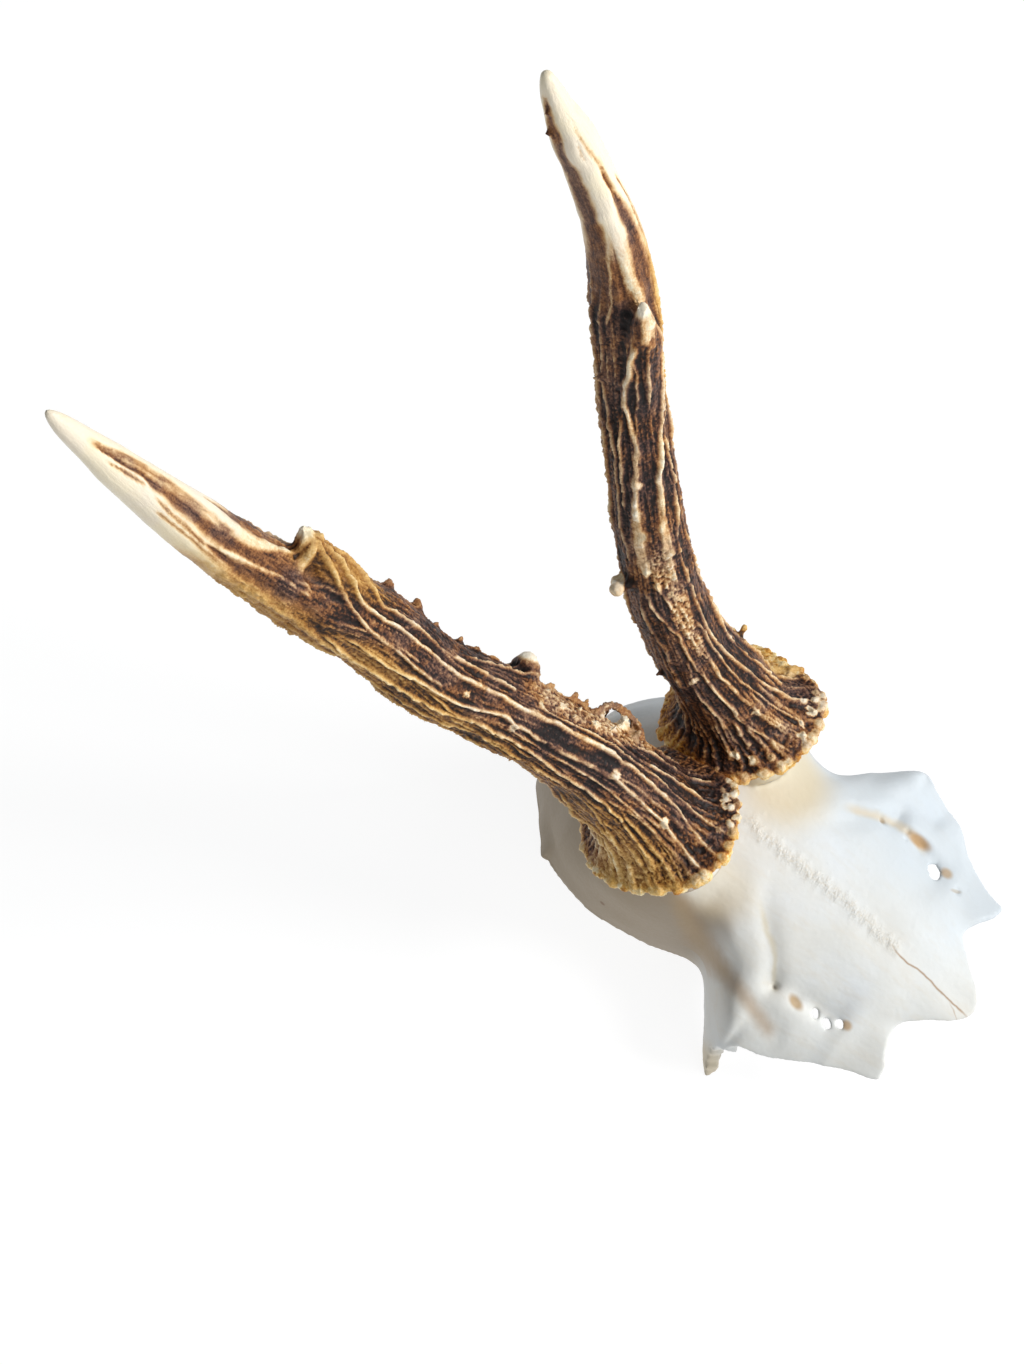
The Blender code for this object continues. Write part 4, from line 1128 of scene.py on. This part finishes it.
def thin_inside(skull):
    """Fewer faces on the plain hollow side, so that the outside can have more."""
    surface = Surface(skull)
    outward = ((surface.points - (0, -60, -15)) * surface.normals()).sum(1)
    group = skull.vertex_groups.new(name="inside")
    group.add(np.flatnonzero(outward < 0).tolist(), 1.0, "REPLACE")
    thin_out(skull, SKULL_KEPT, "inside")


def skull_relief(surface):
    """Seam grains, faint waves and pores on the bone, and the flat saw cut at the table."""
    x, y, z = surface.points.T
    normals = surface.normals()
    outside = smooth_step(0.1, 0.5, normals[:, 2]) * (z > 15)
    middle = table_value(y, sorted(SEAM_LINE)) + 0.35 * np.sin(y * 0.9) + 0.3 * np.sin(y * 2.3)
    ends = smooth_step(-100, -97, y) * (1 - smooth_step(-55, -50, y))
    near = bell(x - middle, SEAM_HALF_WIDTH) * ends * outside
    grains = noise(surface.points * 1.6) + 0.7 * noise(surface.points * 2.6, 9.0)
    rise = near * (0.12 + 0.12 * grains) + 0.22 * noise(surface.points * 0.12, 40.0) + 0.03 * grains
    for line, half_width, height in BROW_LINES:
        line_y, line_x = np.array(sorted(line)).T
        slope = np.interp(y, line_y, np.gradient(line_x, line_y))
        gap = (x - np.interp(y, line_y, line_x)) / np.sqrt(1 + slope ** 2)
        within = smooth_step(line_y[0] - 1, line_y[0] + 3, y) * (1 - smooth_step(line_y[-1] - 4, line_y[-1] + 2, y))
        rise += height * bell(gap, half_width) * within * outside
    for pit_x, pit_y, radius, depth in BROW_PITS:
        rise -= depth * bell(np.hypot(x - pit_x, y - pit_y), radius) * outside
    lift = surface.points[:, 2] > 1.5
    surface.points += normals * (rise * lift)[:, None]
    surface.points[surface.points[:, 2] < 0.45, 2] = 0.0
    surface.store()
    # Painted shade: the wall share darkens the steep sides and the sides turned from the key light, behind the brow.
    steep = 1 - smooth_step(0.15, 0.55, normals[:, 2])
    turned_from_light = smooth_step(-0.05, 0.42, normals @ (-0.82, 0.5, -0.1))
    surface.attributes(
        seam=near, wall=np.maximum(steep, turned_from_light) * smooth_step(-69, -58, y),
        outside=smooth_step(-0.15, 0.2, normals[:, 2]) * (z > 14))


def line_mark(tree, x, y, line, half_width, stir):
    """Nearness from 0 to 1 to a line across the skull, per point of the picture."""
    (low_y, high_y), (low_x, high_x) = LINE_Y_RANGE, LINE_X_RANGE
    line = sorted(line)
    share = tree.math("DIVIDE", tree.math("SUBTRACT", y, low_y * MM), (high_y - low_y) * MM)
    course = tree.node("FloatCurve", {"Value": share})
    mapping = course.node.mapping
    curve = mapping.curves[0]
    points = [((place_y - low_y) / (high_y - low_y), (place_x - low_x) / (high_x - low_x))
              for place_y, place_x in line]
    curve.points[0].location = points[0]
    curve.points[1].location = points[-1]
    for point in points[1:-1]:
        curve.points.new(*point)
    mapping.update()
    middle = tree.math("ADD", tree.times(course, (high_x - low_x) * MM), low_x * MM)
    gap = tree.math("ABSOLUTE", tree.math("ADD", tree.math("SUBTRACT", x, middle), stir))
    near = tree.band(gap, 0.0, half_width * MM, 1.0, 0.0)
    first, last = line[0][0], line[-1][0]
    near = tree.times(near, tree.band(y, (first - 1.5) * MM, (first + 2.5) * MM))
    return tree.times(near, tree.band(y, (last - 4.0) * MM, (last + 1.0) * MM, 1.0, 0.0))


def spot_mark(tree, place, centre, size, turn):
    """Nearness from 0 to 1 to an oval spot."""
    inputs = {
        "Vector": place, "Location": [value * MM for value in centre],
        "Rotation": (0, 0, math.radians(turn)), "Scale": [value * MM for value in size],
    }
    local = tree.node("Mapping", inputs, vector_type="TEXTURE")
    length = tree.node("VectorMath", {0: local}, "Value", operation="LENGTH")
    return tree.band(length, 0.35, 1.0, 1.0, 0.0)


def skull_material():
    """Matt bleached bone: warm stains, a brown crack, a granular seam, painted shade, a painted bluish sky
    reflection.
    """
    tree = Tree("skull_bone")
    place = tree.place()
    x, y, _ = tree.node("SeparateXYZ", {0: place}).node.outputs
    cloud = tree.noise(place, 45, 4.0, 0.5)
    grit = tree.noise(place, 1600, 3.0, 0.6)
    streak = tree.noise(tree.stretched(place, (1.0, 0.12, 1.0)), 420, 3.0, 0.6)
    swerve = tree.times(tree.math("SUBTRACT", tree.noise(place, 380, 2.0), 0.5), 1.2 * MM)
    # Painted shade over the rear right of the dome, beside the right burr, in the colour of the painted wall shade.
    warm = tree.times(tree.band(x, -30 * MM, -12 * MM, 1.0, 0.0), tree.band(y, -52 * MM, -40 * MM))
    colour = tree.ramp(cloud, BONE)
    for share, tint in (
            (tree.band(streak, 0.45, 0.75, 0.0, 0.25), (214, 204, 186)),
            # painted shade on the steep and unlit sides behind the brow
            (tree.times(tree.field("wall"), 0.92), (162, 144, 120)),
            # painted shade at the rear right of the dome
            (tree.times(warm, 0.8), (162, 145, 121)),
            # painted bluish sky reflection towards the deer's left
            (tree.times(tree.band(x, -6 * MM, 24 * MM), 0.7), (197, 208, 218))):
        colour = tree.mix(share, colour, srgb(*tint))
    outside = tree.field("outside")
    for line, half_width, strength, tint, calm in LINE_MARKS:
        stir = tree.times(swerve, 0.5) if calm else swerve
        near = tree.times(line_mark(tree, x, y, line, half_width, stir), outside)
        colour = tree.mix(tree.times(near, strength), colour, srgb(*tint))
    for centre, size, turn, strength, tint, anywhere in SPOT_MARKS:
        near = spot_mark(tree, place, centre, size, turn)
        near = near if anywhere else tree.times(near, outside)
        colour = tree.mix(tree.times(near, strength), colour, srgb(*tint))
    seam = tree.field("seam")
    colour = tree.mix(tree.times(seam, tree.band(grit, 0.4, 0.7, 0.1, 0.5)), colour, srgb(206, 192, 168))
    tree.feed(tree.shader["Base Color"], colour)
    tree.feed(tree.shader["Roughness"], tree.band(grit, 0.2, 0.8, 0.46, 0.6))
    tree.shader["Specular IOR Level"].default_value = 0.35
    normal = tree.bump(grit, 0.05, 0.35)
    normal = tree.bump(streak, 0.10, 0.35, Normal=normal)
    stitches = tree.times(tree.noise(tree.stretched(place, (1.0, 1.7, 1.0)), 1100, 2.0, 0.5), seam)
    tree.feed(tree.shader["Normal"], tree.bump(stitches, 0.5, 0.7, Normal=normal))
    return tree.material


def add_floor():
    """Plain white that glows a little, so that shadows on it stay faint."""
    shape = bmesh.new()
    bmesh.ops.create_grid(shape, x_segments=1, y_segments=1, size=FLOOR_HALF_WIDTH)
    floor = object_from("floor", shape)
    tree = Tree("floor")
    for name, value in FLOOR_LOOK.items():
        tree.shader[name].default_value = value
    floor.data.materials.append(tree.material)


def add_lights():
    """Two square soft lights that face the middle of the object, and a faint sky."""
    for name, place, size, power, colour in LIGHTS:
        light = bpy.data.lights.new(name, "AREA")
        light.size = size
        light.energy = power
        light.color = colour
        obj = new_object(name, light)
        obj.location = place
        obj.rotation_euler = (Vector(LIGHTS_AIM) - Vector(place)).to_track_quat("-Z", "Y").to_euler()
    world = bpy.data.worlds.new("world")
    bpy.context.scene.world = world
    world.use_nodes = True
    background = world.node_tree.nodes["Background"].inputs
    background["Color"].default_value = SKY_COLOUR
    background["Strength"].default_value = SKY_STRENGTH
    bpy.context.scene.view_settings.view_transform = "Standard"


def add_camera():
    turn, height = math.radians(CAMERA_TURN), math.radians(CAMERA_HEIGHT)
    back = Vector((math.sin(turn) * math.cos(height), -math.cos(turn) * math.cos(height), math.sin(height)))
    right = Vector((math.cos(turn), math.sin(turn), 0))
    data = bpy.data.cameras.new("camera")
    data.lens = CAMERA_LENS
    camera = new_object("camera", data)
    facing = Matrix((right, back.cross(right), back)).transposed().to_4x4()
    camera.matrix_world = Matrix.Translation(Vector(CAMERA_PLACE) * MM) @ facing
    bpy.context.scene.camera = camera


def main():
    add_camera()
    add_lights()
    add_floor()
    pieces = (
        (build_skull(), "skull_cap", "bleached_bone"),
        (build_antler(RIGHT), "antler_right", "antler_bone"),
        (build_antler(LEFT), "antler_left", "antler_bone"),
    )
    for piece, node, slot in pieces:
        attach(piece, "root")
        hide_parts(node)


main()
